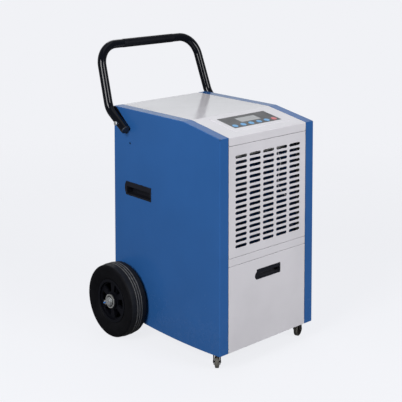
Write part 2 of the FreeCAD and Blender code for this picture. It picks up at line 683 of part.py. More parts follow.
def compressor():
    can = revolve_z(CAN_OUTLINE, COMP_X, COMP_Y)
    weld_ring = rod((COMP_X, COMP_Y, 70), ALONG_Z, 62.2, 5)
    accumulator = revolve_z(ACCUMULATOR_OUTLINE, ACCUMULATOR_X, COMP_Y)
    strap_x, strap_y = (COMP_X - 75, COMP_X - 55), (COMP_Y - 6, COMP_Y + 6)
    straps = box(strap_x, strap_y, (120, 124)).fuse(box(strap_x, strap_y, (170, 174)))
    suction = sweep([(ACCUMULATOR_X, COMP_Y, 64.5), (ACCUMULATOR_X, COMP_Y, 48),
                     (COMP_X - 50, COMP_Y, 48)], [8], 6)
    base = prism_z(around_compressor(104), 30, 34.5)
    base = fillet_where(base, 14, lambda b: b.ZLength > 4)
    stub = rod((COMP_X, COMP_Y, 244), ALONG_Z, PIPE_R, 12)
    terminals = box((COMP_X + 16, COMP_X + 44), (COMP_Y - 14, COMP_Y + 14), (236, 256))
    base = cut_all(base, [rod((x, y, 20), ALONG_Z, 6.0, 22) for x, y in MOUNTS])
    return fuse([can, weld_ring, accumulator, straps, suction, base, stub, terminals])


def compressor_mounts():
    return Part.makeCompound([revolve_z(MOUNT_OUTLINE, x, y) for x, y in MOUNTS])


def refrigerant_pipes():
    """Four coil rows, then discharge line, drier, suction return and liquid line."""
    bottom, top = PASS_Z[0], PASS_Z[-1]
    rear_row, front_row = CONDENSER_ROWS[1], EVAPORATOR_ROWS[0]
    rows = [serpentine(y) for y in EVAPORATOR_ROWS + CONDENSER_ROWS]
    discharge = sweep([(COMP_X, COMP_Y, 256.2), (COMP_X, COMP_Y, 292), (150, COMP_Y, 292),
                       (150, 300, 320), (203, 240, 340), (203, rear_row, 560),
                       (203, rear_row, top), (184, rear_row, top)],
                      [14, 14, 20, 20, 20, 14], PIPE_R)
    drier = revolve_z(DRIER_OUTLINE, DRIER_X, DRIER_Y)
    suction = sweep([(ACCUMULATOR_X, COMP_Y, 214.3), (ACCUMULATOR_X, COMP_Y, 280),
                     (ACCUMULATOR_X, 350, 300), (-150, 300, 320), (-203, 230, 330),
                     (-203, 120, 326), (-203, front_row, bottom), (-184, front_row, bottom)],
                    [14, 18, 18, 18, 18, 14], PIPE_R)
    liquid = sweep([(-184, rear_row, bottom), (-196, rear_row, bottom),
                    (-196, 130, bottom + 30), (DRIER_X, DRIER_Y, 380),
                    (DRIER_X, DRIER_Y, 399.9)],
                   [5, 10, 8], CAPILLARY_R)
    return Part.makeCompound(rows + [discharge, drier, suction, liquid])


# ---------------------------------------------------------------- electrical parts and spigot
def electrical_box():
    """Cover on the left side panel, open towards it."""
    wall, inner_end, depth, height = 1.2, -150, (372, 478), (238, 398)
    cover = box((-INNER_X, inner_end), depth, height)
    cover = fillet_where(cover, 2, lambda b: b.XMin > inner_end - 1)
    return cover.cut(box((-INNER_X - 1, inner_end - wall), grow(depth, -wall),
                         grow(height, -wall)))


def power_inlet():
    flange = box((94, 152), (BODY_D, BODY_D + 3), (88, 124))
    body = box(grow(INLET_X, -0.3), (BODY_D - 30, BODY_D), grow(INLET_Z, -0.3))
    inlet = flange.fuse(body).cut(box((108, 138), (BODY_D - 18, BODY_D + 5), (97, 115)))
    for x, z in ((116, 103), (123, 109), (130, 103)):
        inlet = inlet.fuse(box((x - 1, x + 1), (BODY_D - 20, BODY_D - 3), (z - 2, z + 2)))
    return inlet.removeSplitter()


def drain_spigot():
    def disc(y, radius, length):
        return rod((SPIGOT_X, y, SPIGOT_Z), ALONG_Y, radius, length)

    spigot = disc(BODY_D - 30, 8.0, 58).fuse(disc(BODY_D, 14, 4)).fuse(disc(BODY_D - 9, 12, 7.5))
    return spigot.cut(disc(BODY_D - 40, 6.0, 80)).removeSplitter()


# ---------------------------------------------------------------- wheels (right one drawn)
RIM_R = 75.0
RIB_H, RIB_W, RIB_PITCH, RIB_OFFSET = 1.4, 3.6, 9.4, 1.0    # raised ribs of the tread
# (distance in from the side face, height above the rim)
TYRE_SHOULDER = [(9.5, 0), (6.5, 4), (3.0, 12), (1.0, 20), (0.2, 28), (0, 36), (0.2, 41.5),
                 (0.9, 45.2), (2.5, 48.0), (5.3, 49.6), (10.0, 50.2)]
TYRE_HOLLOW = [(19.0, 0), (12.0, 13), (9.5, 25), (12.5, 34), (19.0, 39)]

VALVE_DY, VALVE_DZ = 27.2, -11.5    # valve from the axle
VALVE_Y, VALVE_Z = WHEEL_Y + VALVE_DY, AXLE_Z + VALVE_DZ
VALVE_DIR = V(0, VALVE_DY, VALVE_DZ).normalize()
VALVE_ROOT_X = WHEEL_X1 - 31.0      # where the valve crosses from rim to hub
BUSH_FACE_X = WHEEL_X1 - 4.9        # inner side of the bush's outer flange


def tyre():
    """Tyre with tight shoulders and three narrow raised ribs round the crown."""
    x0, x1 = WHEEL_X0, WHEEL_X1
    crown_r = WHEEL_R - RIB_H
    shoulder = [(x0 + inward, RIM_R + height) for inward, height in TYRE_SHOULDER]
    shoulder.append((x0 + 16.0, crown_r))
    ribs = []
    for k in (-1, 0, 1):
        middle = (x0 + x1) / 2 - RIB_OFFSET + k * RIB_PITCH
        half = RIB_W / 2
        ribs += [(middle - half - 0.5, crown_r), (middle - half, WHEEL_R),
                 (middle + half, WHEEL_R), (middle + half + 0.5, crown_r)]
    far_shoulder = [(x0 + x1 - x, radius) for x, radius in reversed(shoulder)]
    hollow = [(x1 - inward, RIM_R + height) for inward, height in TYRE_HOLLOW]
    hollow += [(x0 + inward, RIM_R + height) for inward, height in reversed(TYRE_HOLLOW)]
    return wheel_ring(shoulder + ribs + far_shoulder + hollow)


def rim_window():
    """Ring sector through the rim's disc, slightly narrower in angle at the hub."""
    outer_r, outer_deg, inner_r, inner_deg = 61.2, 19.0, 31.0, 17.0
    polar = [(outer_r, math.radians(-outer_deg + 2 * outer_deg * t / 6)) for t in range(7)]
    polar += [(inner_r, math.radians(inner_deg - 2 * inner_deg * t / 4)) for t in range(5)]
    points = [(WHEEL_Y + radius * math.cos(a), AXLE_Z + radius * math.sin(a))
              for radius, a in polar]
    return prism_x(points, WHEEL_X1 - 40, WHEEL_X1 + 5)


def rim():
    x0, x1 = WHEEL_X0, WHEEL_X1
    seat_r, web_r = RIM_R - 0.02, RIM_R - 8.5
    barrel = wheel_ring([(x0 + 8, RIM_R - 9), (x1 - 7, RIM_R - 9), (x1 - 7, seat_r),
                         (x0 + 8, seat_r)])
    disc = wheel_ring([(x1 - 24, 17.0), (x1 - 12, 17.0), (x1 - 14, 30), (x1 - 15, web_r),
                       (x1 - 22, web_r)])
    hub = wheel_ring([(x0 + 4, 13.0), (x1 - 5.0, 13.0), (x1 - 5.0, 27.0), (x1 - 12, 27.5),
                      (x1 - 24, 22), (x0 + 4, 21)])
    inner_disc = wheel_ring([(x0 + 14, 20.5), (x0 + 16, 20.5), (x0 + 16, web_r),
                             (x0 + 14, web_r)])
    body = fuse([barrel, disc, hub, inner_disc])
    windows = []
    for k in range(6):
        window = rim_window()
        window.rotate(V(0, WHEEL_Y, AXLE_Z), V(1, 0, 0), 60 * k)
        windows.append(window)
    body = cut_all(body, windows)
    # passages for the two legs of the valve
    body = body.cut(rod((x0, VALVE_Y, VALVE_Z), ALONG_X, 3.6, x1 - x0))
    start = V(VALVE_ROOT_X, WHEEL_Y, AXLE_Z) + VALVE_DIR * 21.0
    return body.cut(Part.makeCylinder(3.4, 45, start, VALVE_DIR))


def valve_stem():
    """Bent valve: in from the barrel, then out beside the hub."""
    rim_end = (VALVE_ROOT_X, WHEEL_Y + VALVE_DIR.y * 65.9, AXLE_Z + VALVE_DIR.z * 65.9)
    stem = sweep([rim_end, (VALVE_ROOT_X, VALVE_Y, VALVE_Z), (WHEEL_X1 - 1.6, VALVE_Y, VALVE_Z)],
                 [5.0], 2.6)
    return stem.fuse(rod((WHEEL_X1 - 4.4, VALVE_Y, VALVE_Z), ALONG_X, 3.9, 3.2))


def hub_bush():
    """Flanged bush with an ear round the valve and a groove in its outer face."""
    bore_r, sleeve_r, flange_r = AXLE_R + RUN, 12.95, 23.7
    start, end, clear_x = WHEEL_X0 + 2, WHEEL_X1 - 1.6, WHEEL_X1 - 10
    bush = wheel_ring([(start, bore_r), (end, bore_r), (end, flange_r), (BUSH_FACE_X, flange_r),
                       (BUSH_FACE_X, sleeve_r), (start, sleeve_r)])
    neck = (BUSH_FACE_X, WHEEL_Y + VALVE_DY * 0.6, AXLE_Z + VALVE_DZ * 0.6)
    ear = rod((BUSH_FACE_X, VALVE_Y, VALVE_Z), ALONG_X, 7.0, 3.3).fuse(
        rod(neck, ALONG_X, 9.0, 3.3))
    ear = ear.cut(rod((clear_x, WHEEL_Y, AXLE_Z), ALONG_X, 20.0, 20))
    valve_hole = rod((clear_x, VALVE_Y, VALVE_Z), ALONG_X, 4.1, 20)
    bush = bush.fuse(ear).cut(valve_hole).removeSplitter()
    groove_x0, groove_x1 = WHEEL_X1 - 4.0, WHEEL_X1 - 1.0
    return bush.cut(wheel_ring([(groove_x0, 15.6), (groove_x1, 15.6), (groove_x1, 18.9),
                                (groove_x0, 18.9)]))


def stub_axles():
    """Axle stubs, each with a collar and a gusseted bracket on the base tray."""
    start = INNER_X - 26
    end = WHEEL_X1 + 6.5
    axle = rod((start, WHEEL_Y, AXLE_Z), ALONG_X, AXLE_R, end - start)
    axle = fillet_where(axle, 1.0, lambda b: b.XMin > WHEEL_X1 and b.XLength < 0.01)
    collar = rod((WHEEL_X0 - 8.0, WHEEL_Y, AXLE_Z), ALONG_X, 15, 9.7)
    plate_x = (INNER_X - 8, INNER_X - 1.5)
    bracket_y = (WHEEL_Y - 34, WHEEL_Y + 34)
    foot_top, plate_split = 8, 27
    upper_plate = box(plate_x, bracket_y, (plate_split, AXLE_Z + 30))
    foot = box((INNER_X - 60, plate_x[1]), bracket_y, (FLOOR_T, foot_top))
    gusset = prism_y([(INNER_X - 58, foot_top), (plate_x[0], foot_top),
                      (plate_x[0], AXLE_Z + 28)], WHEEL_Y - 3, WHEEL_Y + 3)
    lower_plate = box(plate_x, bracket_y, (foot_top, plate_split))
    stub = fuse([axle, collar, upper_plate, foot, gusset, lower_plate])
    return Part.makeCompound([mirror_x(stub), stub])


def axle_nuts():
    bore_r = AXLE_R + 0.02
    x0, x1 = WHEEL_X1 - 1.3, WHEEL_X1 + 0.7
    washer = wheel_ring([(x0, bore_r), (x1, bore_r), (x1, 15.0), (x0, 15.0)])
    nut = hexagon(WHEEL_X1 + 0.72, WHEEL_X1 + 5.2, WHEEL_Y, AXLE_Z, 24.0).cut(
        rod((WHEEL_X1 - 5, WHEEL_Y, AXLE_Z), ALONG_X, bore_r, 20))
    return Part.makeCompound([mirror_x(washer), mirror_x(nut), washer, nut])


# ---------------------------------------------------------------- push handle
TUBE_R = 15.4
TUBE_WALL = 2.0
LEG_X, BAR_X = 237.2, 225.0     # the legs draw together towards the cross bar
# (y, z) of the left leg's lower end, its knee and the cross bar
LEG_END_Y, LEG_END_Z = 461.7, 667.0
KNEE_Y, KNEE_Z = 552.3, 727.2
BAR_Y, BAR_Z = 627.4, 943.1
KNEE_R, CORNER_R = 66.0, 77.6
PLATE_T = 2.0                   # handle bracket plate
BOLT_R = 4.0
BRACKET_OUTLINE = [(452.8, 667.8), (534.1, 736.0), (547.5, 736.0), (547.5, 704.2),
                   (478.5, 646.0)]      # (y, z)
LEG_DIR = V(0, KNEE_Y - LEG_END_Y, KNEE_Z - LEG_END_Z).normalize()


def handle_tube():
    left = [(-LEG_X, LEG_END_Y, LEG_END_Z), (-LEG_X, KNEE_Y, KNEE_Z), (-BAR_X, BAR_Y, BAR_Z)]
    path = left + [(-x, y, z) for x, y, z in reversed(left)]
    radii = [KNEE_R, CORNER_R, CORNER_R, KNEE_R]
    tube = sweep(path, radii, TUBE_R).cut(sweep(path, radii, TUBE_R - TUBE_WALL))
    bolt_hole = rod((-LEG_X - 40, PIVOT_Y, PIVOT_Z), ALONG_X, BOLT_R + RUN, 80)
    return tube.cut(bolt_hole).cut(mirror_x(bolt_hole))


def grip_sleeve():
    sleeve = rod((-118, BAR_Y, BAR_Z), ALONG_X, TUBE_R + 0.6, 236).cut(
        rod((-130, BAR_Y, BAR_Z), ALONG_X, TUBE_R + 0.02, 260))
    return fillet_where(sleeve, 0.4, lambda b: b.XLength < 0.01 and b.ZLength > 2 * TUBE_R + 1)


def handle_end_plugs():
    leg_end = V(-LEG_X, LEG_END_Y, LEG_END_Z)
    cap_t = 4.0
    cap_end = leg_end - LEG_DIR * cap_t
    plug = Part.makeCylinder(TUBE_R, cap_t, cap_end, LEG_DIR)
    plug = fillet_where(plug, 2.0, lambda b: (b.Center - cap_end).Length < 1.0)
    insert = Part.makeCylinder(TUBE_R - TUBE_WALL - 0.05, 14.0, leg_end, LEG_DIR)
    return with_mirror(plug.fuse(insert))


def handle_brackets():
    plate = prism_x(BRACKET_OUTLINE, -HALF_W - PLATE_T, -HALF_W)
    plate = fillet_where(plate, 5.0, lambda b: b.XLength > PLATE_T - 0.2 and b.YLength < 0.01
                         and b.ZMax < 690 and b.ZLength < 0.01)
    # stop tab that the lower leg rests on, so the handle can only fold forwards
    tab_t = 3.0
    leg_normal = V(0, -LEG_DIR.z, LEG_DIR.y)
    tab = Part.makeBox(11.0, 10.0, tab_t)
    tab.rotate(V(0, 0, 0), V(1, 0, 0), math.degrees(math.atan2(LEG_DIR.z, LEG_DIR.y)))
    tab.translate(V(-HALF_W - 12.0, PIVOT_Y, PIVOT_Z) + LEG_DIR * 17.4
                  - leg_normal * (TUBE_R + 0.35 + tab_t))
    hole = rod((-HALF_W - 20, PIVOT_Y, PIVOT_Z), ALONG_X, 4.3, 40)
    return with_mirror(plate.fuse(tab).cut(hole))


def handle_bolts():
    tube_face = -LEG_X - TUBE_R
    shank_start, nut_start = tube_face - 3.0, -HALF_W + SHEET
    shank = rod((shank_start, PIVOT_Y, PIVOT_Z), ALONG_X, BOLT_R, -shank_start - HALF_W + 12)
    head = rod((tube_face - 6.5, PIVOT_Y, PIVOT_Z), ALONG_X, 7.5, 5.5)
    head = fillet_where(head, 1.8, lambda b: b.XMin < tube_face - 6 and b.XLength < 0.01)
    nut = hexagon(nut_start + 0.02, nut_start + 7, PIVOT_Y, PIVOT_Z, 13)
    return with_mirror(fuse([shank, head, nut]))


# ---------------------------------------------------------------- casters
# Drawn about the swivel axis, trailing towards +Y.
CASTER_R = 20.0
CASTER_TRAIL = 9.0
HUB_HALF = 15.8 / 2             # half width across the hub faces
TREAD_HALF = 12.4 / 2
CASTER_LEFT_DEG = 43.0          # steering angles, from straight back towards +X
CASTER_RIGHT_DEG = 74.0
CASTER_AXLE_Z = CASTER_R - GROUND
PIN_R, RIVET_R = 4.0, 2.5


def steer(shape, x, degrees):
    """Turn a caster piece about its swivel axis and move it to its place."""
    shape = shape.copy()
    shape.rotate(V(0, 0, 0), V(0, 0, 1), -degrees)
    shape.translate(V(x, CASTER_Y, 0))
    return shape


def caster_plates():
    plate = box(span(19), span(19), (-3.0, 0.0))
    plate = fillet_where(plate, 4, lambda b: b.ZLength > 2)
    pin = rod((0, 0, -11.5), ALONG_Z, PIN_R, 13.5).fuse(rod((0, 0, -14.0), ALONG_Z, 6.5, 2.5))
    top = fuse([plate, pin])
    return Part.makeCompound([steer(top, x, 0) for x in (-CASTER_X, CASTER_X)])


def caster_fork():
    crown_z, bridge_z = -11.3, -8.4
    trail, axle_z = CASTER_TRAIL, CASTER_AXLE_Z
    foot_z = axle_z - 10.5
    inner = HUB_HALF + 0.5      # inner face of each cheek
    outer = inner + 4.2
    # crown with bearing dish
    crown = rod((0, 0, crown_z), ALONG_Z, 13.5, 3.0).fuse(rod((0, 0, -8.3), ALONG_Z, 11.0, 4.8))
    crown = crown.cut(rod((0, 0, -20), ALONG_Z, PIN_R + RUN, 20))
    side_outline = [(-11, bridge_z), (12, bridge_z), (trail + 9, axle_z + 2),
                    (trail + 6.5, axle_z - 7.5), (trail + 2.5, foot_z), (trail - 2.5, foot_z),
                    (trail - 6.5, axle_z - 7.5), (trail - 9, axle_z + 2)]      # (y, z)
    cheeks = []
    for side in (-1, 1):
        cheek = prism_x(side_outline, *on_side(side, inner, outer))
        taper = [(side * inner, bridge_z), (side * outer, bridge_z), (side * outer, axle_z + 3),
                 (side * (inner + 1.6), foot_z), (side * inner, foot_z)]       # (x, z)
        cheeks.append(cheek.common(prism_y(taper, -40, 60)))
    bridge = box(span(outer), (-11, 12), (crown_z, bridge_z))
    rivet = rod((-outer, trail, axle_z), ALONG_X, RIVET_R, 2 * outer)
    heads = [rod((x, trail, axle_z), ALONG_X, 4.0, 2.0) for x in (-inner - 5.0 + 0.0, inner + 3.0)]
    heads = [rod((x, trail, axle_z), ALONG_X, 4.0, 2.0) for x in (-inner - 5.0, inner + 3.0)]
    fork = fuse([crown, bridge, rivet] + cheeks + heads)
    fork = fork.cut(rod((0, 0, -11.5), ALONG_Z, PIN_R + RUN, 8))
    # space for the pin head
    return fork.cut(rod((0, 0, -17.3), ALONG_Z, 7.0, 6))


def caster_wheel():
    # (x, radius) from the hub face out to the tread, +X half
    half = [(HUB_HALF, 10.5), (HUB_HALF - 0.7, 14.5), (TREAD_HALF + 0.4, 17.6),
            (TREAD_HALF, 18.8), (TREAD_HALF - 1.4, CASTER_R)]
    bore_r = RIVET_R + RUN
    outline = [(-HUB_HALF, bore_r), (HUB_HALF, bore_r)] + half
    outline += [(-x, radius) for x, radius in reversed(half)]
    return revolve_x(outline, CASTER_TRAIL, CASTER_AXLE_Z)


# ---------------------------------------------------------------- case screws
def screw(place, axis):
    """Cross-slotted screw head standing out from the case along the axis."""
    head_h, slot_l, slot_w = 1.8, 5.2, 0.9
    axis = V(*axis)
    tip = V(*place) + axis * head_h
    head = Part.makeCylinder(4.2, head_h, V(*place), axis)
    head = fillet_where(head, 1.2, lambda b: (b.Center - tip).Length < 0.3)
    cross = box(span(slot_l / 2), span(slot_w / 2), (0, slot_w)).fuse(
        box(span(slot_w / 2), span(slot_l / 2), (0, slot_w)))
    rotation = FreeCAD.Rotation(V(0, 0, 1), axis)
    cross.Placement = FreeCAD.Placement(tip - axis * 0.85, rotation)
    return head.cut(cross)


def case_screws():
    """Heads on the rear flanges, the underside and the top cover's rear skirt."""
    screws = []
    for side in (-1, 1):
        for z in (60, 330, 480, 640, 700):
            screws.append(screw((side * (HALF_W - TRIM / 2), BODY_D, z), (0, 1, 0)))
        for y in (90, 300):
            screws.append(screw((side * (HALF_W - 8), y, 0.0), (0, 0, -1)))
    for x in (-150, 0, 150):
        screws.append(screw((x, BODY_D, BODY_H - 12), (0, 1, 0)))
    return Part.makeCompound(screws)


# ---------------------------------------------------------------- build and write
# pieces whose file name is the name of their function
SINGLE_PIECES = [
    left_side_panel, side_grips, top_cover, control_bezel, display_window, control_board,
    front_grille_panel, mid_rail, drawer_front, drawer_pull, water_tank, float_arm,
    float_switch, base_tray, deck_bulkhead, rear_panel, rear_guard, coil_end_plates,
    drip_tray, drain_tube, air_filter, fan_shroud, fan_motor, fan_blade, compressor,
    compressor_mounts, refrigerant_pipes, electrical_box, power_inlet, drain_spigot,
    stub_axles, axle_nuts, handle_tube, grip_sleeve, handle_end_plugs, handle_brackets,
    handle_bolts, caster_plates, case_screws,
]
pieces = {build.__name__: build() for build in SINGLE_PIECES}
pieces["right_side_panel"] = mirror_x(pieces["left_side_panel"])
pieces["evaporator_fins"] = fin_pack(EVAPORATOR_Y, EVAPORATOR_ROWS)
pieces["condenser_fins"] = fin_pack(CONDENSER_Y, CONDENSER_ROWS)
for number, key_x in enumerate(KEY_X, 1):
    pieces["key_%d" % number] = key(key_x)
for build in (tyre, rim, hub_bush, valve_stem):
    shape = build()
    pieces["right_" + build.__name__] = shape
    pieces["left_" + build.__name__] = mirror_x(shape)
for build in (caster_fork, caster_wheel):
    shape = build()
    pieces["left_" + build.__name__] = steer(shape, -CASTER_X, CASTER_LEFT_DEG)
    pieces["right_" + build.__name__] = steer(shape, CASTER_X, CASTER_RIGHT_DEG)

os.makedirs("parts", exist_ok=True)
for name, shape in pieces.items():
    placed = shape.copy()
    placed.translate(V(0, -CENTRE_Y, GROUND))
    placed.exportStep("parts/%s.step" % name)
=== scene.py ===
import json
import math

import bpy
import bmesh
from mathutils import Matrix, Vector


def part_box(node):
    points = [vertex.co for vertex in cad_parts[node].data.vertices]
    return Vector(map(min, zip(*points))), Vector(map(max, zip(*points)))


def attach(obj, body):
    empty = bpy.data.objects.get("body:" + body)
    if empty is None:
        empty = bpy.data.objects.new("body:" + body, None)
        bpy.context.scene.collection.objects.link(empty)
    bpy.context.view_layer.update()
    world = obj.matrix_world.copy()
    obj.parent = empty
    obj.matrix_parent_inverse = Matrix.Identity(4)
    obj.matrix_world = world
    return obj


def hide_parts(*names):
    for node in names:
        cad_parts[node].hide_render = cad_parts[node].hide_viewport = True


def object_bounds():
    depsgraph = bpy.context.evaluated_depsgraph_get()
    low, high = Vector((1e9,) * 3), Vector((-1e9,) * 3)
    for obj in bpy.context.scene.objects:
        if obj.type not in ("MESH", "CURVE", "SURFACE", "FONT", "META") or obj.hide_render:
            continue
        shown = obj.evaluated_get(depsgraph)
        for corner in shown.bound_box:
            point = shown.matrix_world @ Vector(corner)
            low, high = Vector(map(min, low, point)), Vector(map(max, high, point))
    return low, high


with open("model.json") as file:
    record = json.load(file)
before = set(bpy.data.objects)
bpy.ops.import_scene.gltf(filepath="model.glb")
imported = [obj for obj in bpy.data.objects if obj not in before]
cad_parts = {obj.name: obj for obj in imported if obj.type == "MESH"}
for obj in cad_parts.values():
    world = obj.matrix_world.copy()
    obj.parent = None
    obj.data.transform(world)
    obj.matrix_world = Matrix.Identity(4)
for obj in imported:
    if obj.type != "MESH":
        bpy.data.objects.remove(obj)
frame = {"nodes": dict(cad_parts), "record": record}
CAD_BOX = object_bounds()
nodes = frame["nodes"]
record = frame["record"]
SLOT_OF = {s["node"]: s["material_slot"] for s in record["subparts"]}
scene = bpy.context.scene


# =====================================================================================
# node helpers
# =====================================================================================
class Graph:
    """Small wrapper that makes the procedural materials readable."""

    def __init__(self, name):
        self.mat = bpy.data.materials.new(name)
        self.mat.use_nodes = True
        self.nt = self.mat.node_tree
        self.nt.nodes.clear()
        self.out = self.nt.nodes.new("ShaderNodeOutputMaterial")
        self.bsdf = self.nt.nodes.new("ShaderNodeBsdfPrincipled")
        self.nt.links.new(self.bsdf.outputs["BSDF"], self.out.inputs["Surface"])
        self.tc = self.nt.nodes.new("ShaderNodeTexCoord")
        self.bump_chain = None

    def new(self, kind, **props):
        n = self.nt.nodes.new(kind)
        for k, v in props.items():
            setattr(n, k, v)
        return n

    def link(self, a, b):
        self.nt.links.new(a, b)

    def value(self, v):
        n = self.new("ShaderNodeValue")
        n.outputs[0].default_value = v
        return n.outputs[0]

    def put(self, socket, v):
        if hasattr(v, "links"):
            self.link(v, socket)
        elif isinstance(v, (tuple, list)):
            socket.default_value = tuple(v) if len(v) == 4 or socket.type == "VECTOR" else (*v, 1.0)
        else:
            socket.default_value = v

    def coords(self, scale=(1, 1, 1), rot=(0, 0, 0), loc=(0, 0, 0)):
        m = self.new("ShaderNodeMapping")
        self.link(self.tc.outputs["Object"], m.inputs["Vector"])
        m.inputs["Scale"].default_value = scale
        m.inputs["Rotation"].default_value = rot
        m.inputs["Location"].default_value = loc
        return m.outputs["Vector"]

    def noise(self, scale, detail=3.0, rough=0.5, vec=None, distortion=0.0):
        n = self.new("ShaderNodeTexNoise")
        self.link(vec if vec is not None else self.tc.outputs["Object"], n.inputs["Vector"])
        n.inputs["Scale"].default_value = scale
        n.inputs["Detail"].default_value = detail
        n.inputs["Roughness"].default_value = rough
        n.inputs["Distortion"].default_value = distortion
        return n.outputs["Fac"]

    def voronoi(self, scale, vec=None, feature="F1", out="Distance"):
        n = self.new("ShaderNodeTexVoronoi", feature=feature)
        self.link(vec if vec is not None else self.tc.outputs["Object"], n.inputs["Vector"])
        n.inputs["Scale"].default_value = scale
        return n.outputs[out]

    def ramp(self, fac, lo, hi, a=0.0, b=1.0, smooth=True):
        n = self.new("ShaderNodeMapRange")
        n.interpolation_type = "SMOOTHSTEP" if smooth else "LINEAR"
        n.clamp = True
        self.put(n.inputs["Value"], fac)
        n.inputs["From Min"].default_value = lo
        n.inputs["From Max"].default_value = hi
        n.inputs["To Min"].default_value = a
        n.inputs["To Max"].default_value = b
        return n.outputs["Result"]

    def math(self, op, a, b=None, c=None, clamp=False):
        n = self.new("ShaderNodeMath", operation=op)
        n.use_clamp = clamp
        self.put(n.inputs[0], a)
        if b is not None:
            self.put(n.inputs[1], b)
        if c is not None:
            self.put(n.inputs[2], c)
        return n.outputs[0]

    def mix(self, fac, a, b, mode="MIX"):
        n = self.new("ShaderNodeMix", data_type="RGBA", blend_type=mode)
        self.put(n.inputs[0], fac)
        self.put(n.inputs[6], a)
        self.put(n.inputs[7], b)
        return n.outputs[2]

    def xyz(self, vec=None):
        n = self.new("ShaderNodeSeparateXYZ")
        self.link(vec if vec is not None else self.tc.outputs["Object"], n.inputs[0])
        return n.outputs

    def bump(self, height, strength, distance):
        n = self.new("ShaderNodeBump")
        n.inputs["Strength"].default_value = strength
        n.inputs["Distance"].default_value = distance
        self.put(n.inputs["Height"], height)
        if self.bump_chain is not None:
            self.link(self.bump_chain, n.inputs["Normal"])
        self.bump_chain = n.outputs["Normal"]
        return n

    def rounded(self, radius, samples=4):
        """Softened edges in the shading, first in the bump chain."""
        n = self.new("ShaderNodeBevel", samples=samples)
        n.inputs["Radius"].default_value = radius
        self.bump_chain = n.outputs["Normal"]
        return n.outputs["Normal"]

    def edge_mask(self, radius, lo=0.80, hi=0.995, samples=4):
        """1 on sharp outer edges, 0 on flat surface."""
        b = self.new("ShaderNodeBevel", samples=samples)
        b.inputs["Radius"].default_value = radius
        g = self.new("ShaderNodeNewGeometry")
        d = self.new("ShaderNodeVectorMath", operation="DOT_PRODUCT")
        self.link(b.outputs["Normal"], d.inputs[0])
        self.link(g.outputs["Normal"], d.inputs[1])
        return self.ramp(d.outputs["Value"], lo, hi, 1.0, 0.0)

    def done(self, color, rough, metallic=0.0, coat=0.0, coat_rough=0.05, spec=0.5, ior=1.5, sheen=0.0, transmission=0.0,
             sss=0.0, sss_radius=(0.01, 0.01, 0.01), aniso=0.0, alpha=None):
        b = self.bsdf.inputs
        self.put(b["Base Color"], color)
        self.put(b["Roughness"], rough)
        self.put(b["Metallic"], metallic)
        self.put(b["Coat Weight"], coat)
        self.put(b["Coat Roughness"], coat_rough)
        self.put(b["Specular IOR Level"], spec)
        b["IOR"].default_value = ior
        self.put(b["Sheen Weight"], sheen)
        self.put(b["Transmission Weight"], transmission)
        self.put(b["Subsurface Weight"], sss)
        b["Subsurface Radius"].default_value = sss_radius
        self.put(b["Anisotropic"], aniso)
        if alpha is not None:
            self.put(b["Alpha"], alpha)
        if self.bump_chain is not None:
            self.link(self.bump_chain, b["Normal"])
        return self.mat


def srgb(r, g, b):
    def f(c):
        c /= 255.0
        return c / 12.92 if c <= 0.04045 else ((c + 0.055) / 1.055) ** 2.4
    return (f(r), f(g), f(b))


def shade(c, k):
    return tuple(min(1.0, x * k) for x in c)


MATS = {}


def powder_coat(slot, base, rough=0.2, coat=0.3, peel=0.035, wear=0.25, dust_and_recess_light=0.06, spec=0.5):
    """Semi-gloss stoved paint on sheet steel: orange peel, faint cloudiness, thin edges, dust towards the floor."""
    g = Graph(slot)
    g.rounded(0.0008)
    cloud = g.noise(5.0, 3.0, 0.55)
    fine = g.noise(60.0, 4.0, 0.6)
    col = g.mix(g.ramp(cloud, 0.3, 0.7), shade(base, 0.965), shade(base, 1.035))
    col = g.mix(g.math("MULTIPLY", g.ramp(fine, 0.62, 0.80), 0.10), col, shade(base, 1.18))
    edge = g.edge_mask(0.0012)
    chips = g.ramp(g.noise(210.0, 3.0, 0.6), 0.42, 0.62)
    col = g.mix(g.math("MULTIPLY", g.math("MULTIPLY", edge, chips), wear), col, shade(base, 1.45))
    z = g.xyz()[2]
    low = g.ramp(z, 0.30, 0.06)
    grime = g.math("MULTIPLY", low, g.ramp(g.noise(38.0, 5.0, 0.65), 0.35, 0.75))
    col = g.mix(g.math("MULTIPLY", grime, dust_and_recess_light), col, (0.42, 0.39, 0.35))
    smear = g.noise(14.0, 4.0, 0.6, vec=g.coords((1.0, 1.0, 0.35)))
    r = g.math("ADD", g.ramp(smear, 0.35, 0.75, 0.0, 0.07), rough)
    r = g.math("ADD", r, g.math("MULTIPLY", grime, 0.12))
    g.bump(g.noise(160.0, 2.0, 0.5), peel, 0.0003)
    g.bump(g.noise(7.0, 2.0, 0.5), 0.015, 0.001)
    MATS[slot] = g.done(col, r, coat=coat, coat_rough=0.06, spec=spec)
    return MATS[slot]


def gloss_tube(slot):
    """Deep gloss black on steel tube: clean narrow highlights, a trace of orange peel, rubbed spots scattered along it.
    """
    g = Graph(slot)
    base = (0.0034, 0.0042, 0.0074)
    cloud = g.noise(9.0, 3.0, 0.5)
    col = g.mix(g.ramp(cloud, 0.3, 0.7), shade(base, 0.85), shade(base, 1.15))
    rubbed = g.ramp(g.noise(55.0, 5.0, 0.7), 0.60, 0.82)
    col = g.mix(g.math("MULTIPLY", rubbed, 0.12), col, (0.035, 0.037, 0.042))
    r = g.math("ADD", g.ramp(g.noise(26.0, 4.0, 0.6), 0.3, 0.75, 0.0, 0.035), 0.045)
    r = g.math("ADD", r, g.math("MULTIPLY", rubbed, 0.10))
    g.bump(g.noise(120.0, 2.0, 0.4), 0.006, 0.0003)
    MATS[slot] = g.done(col, r, spec=0.27)
    return MATS[slot]


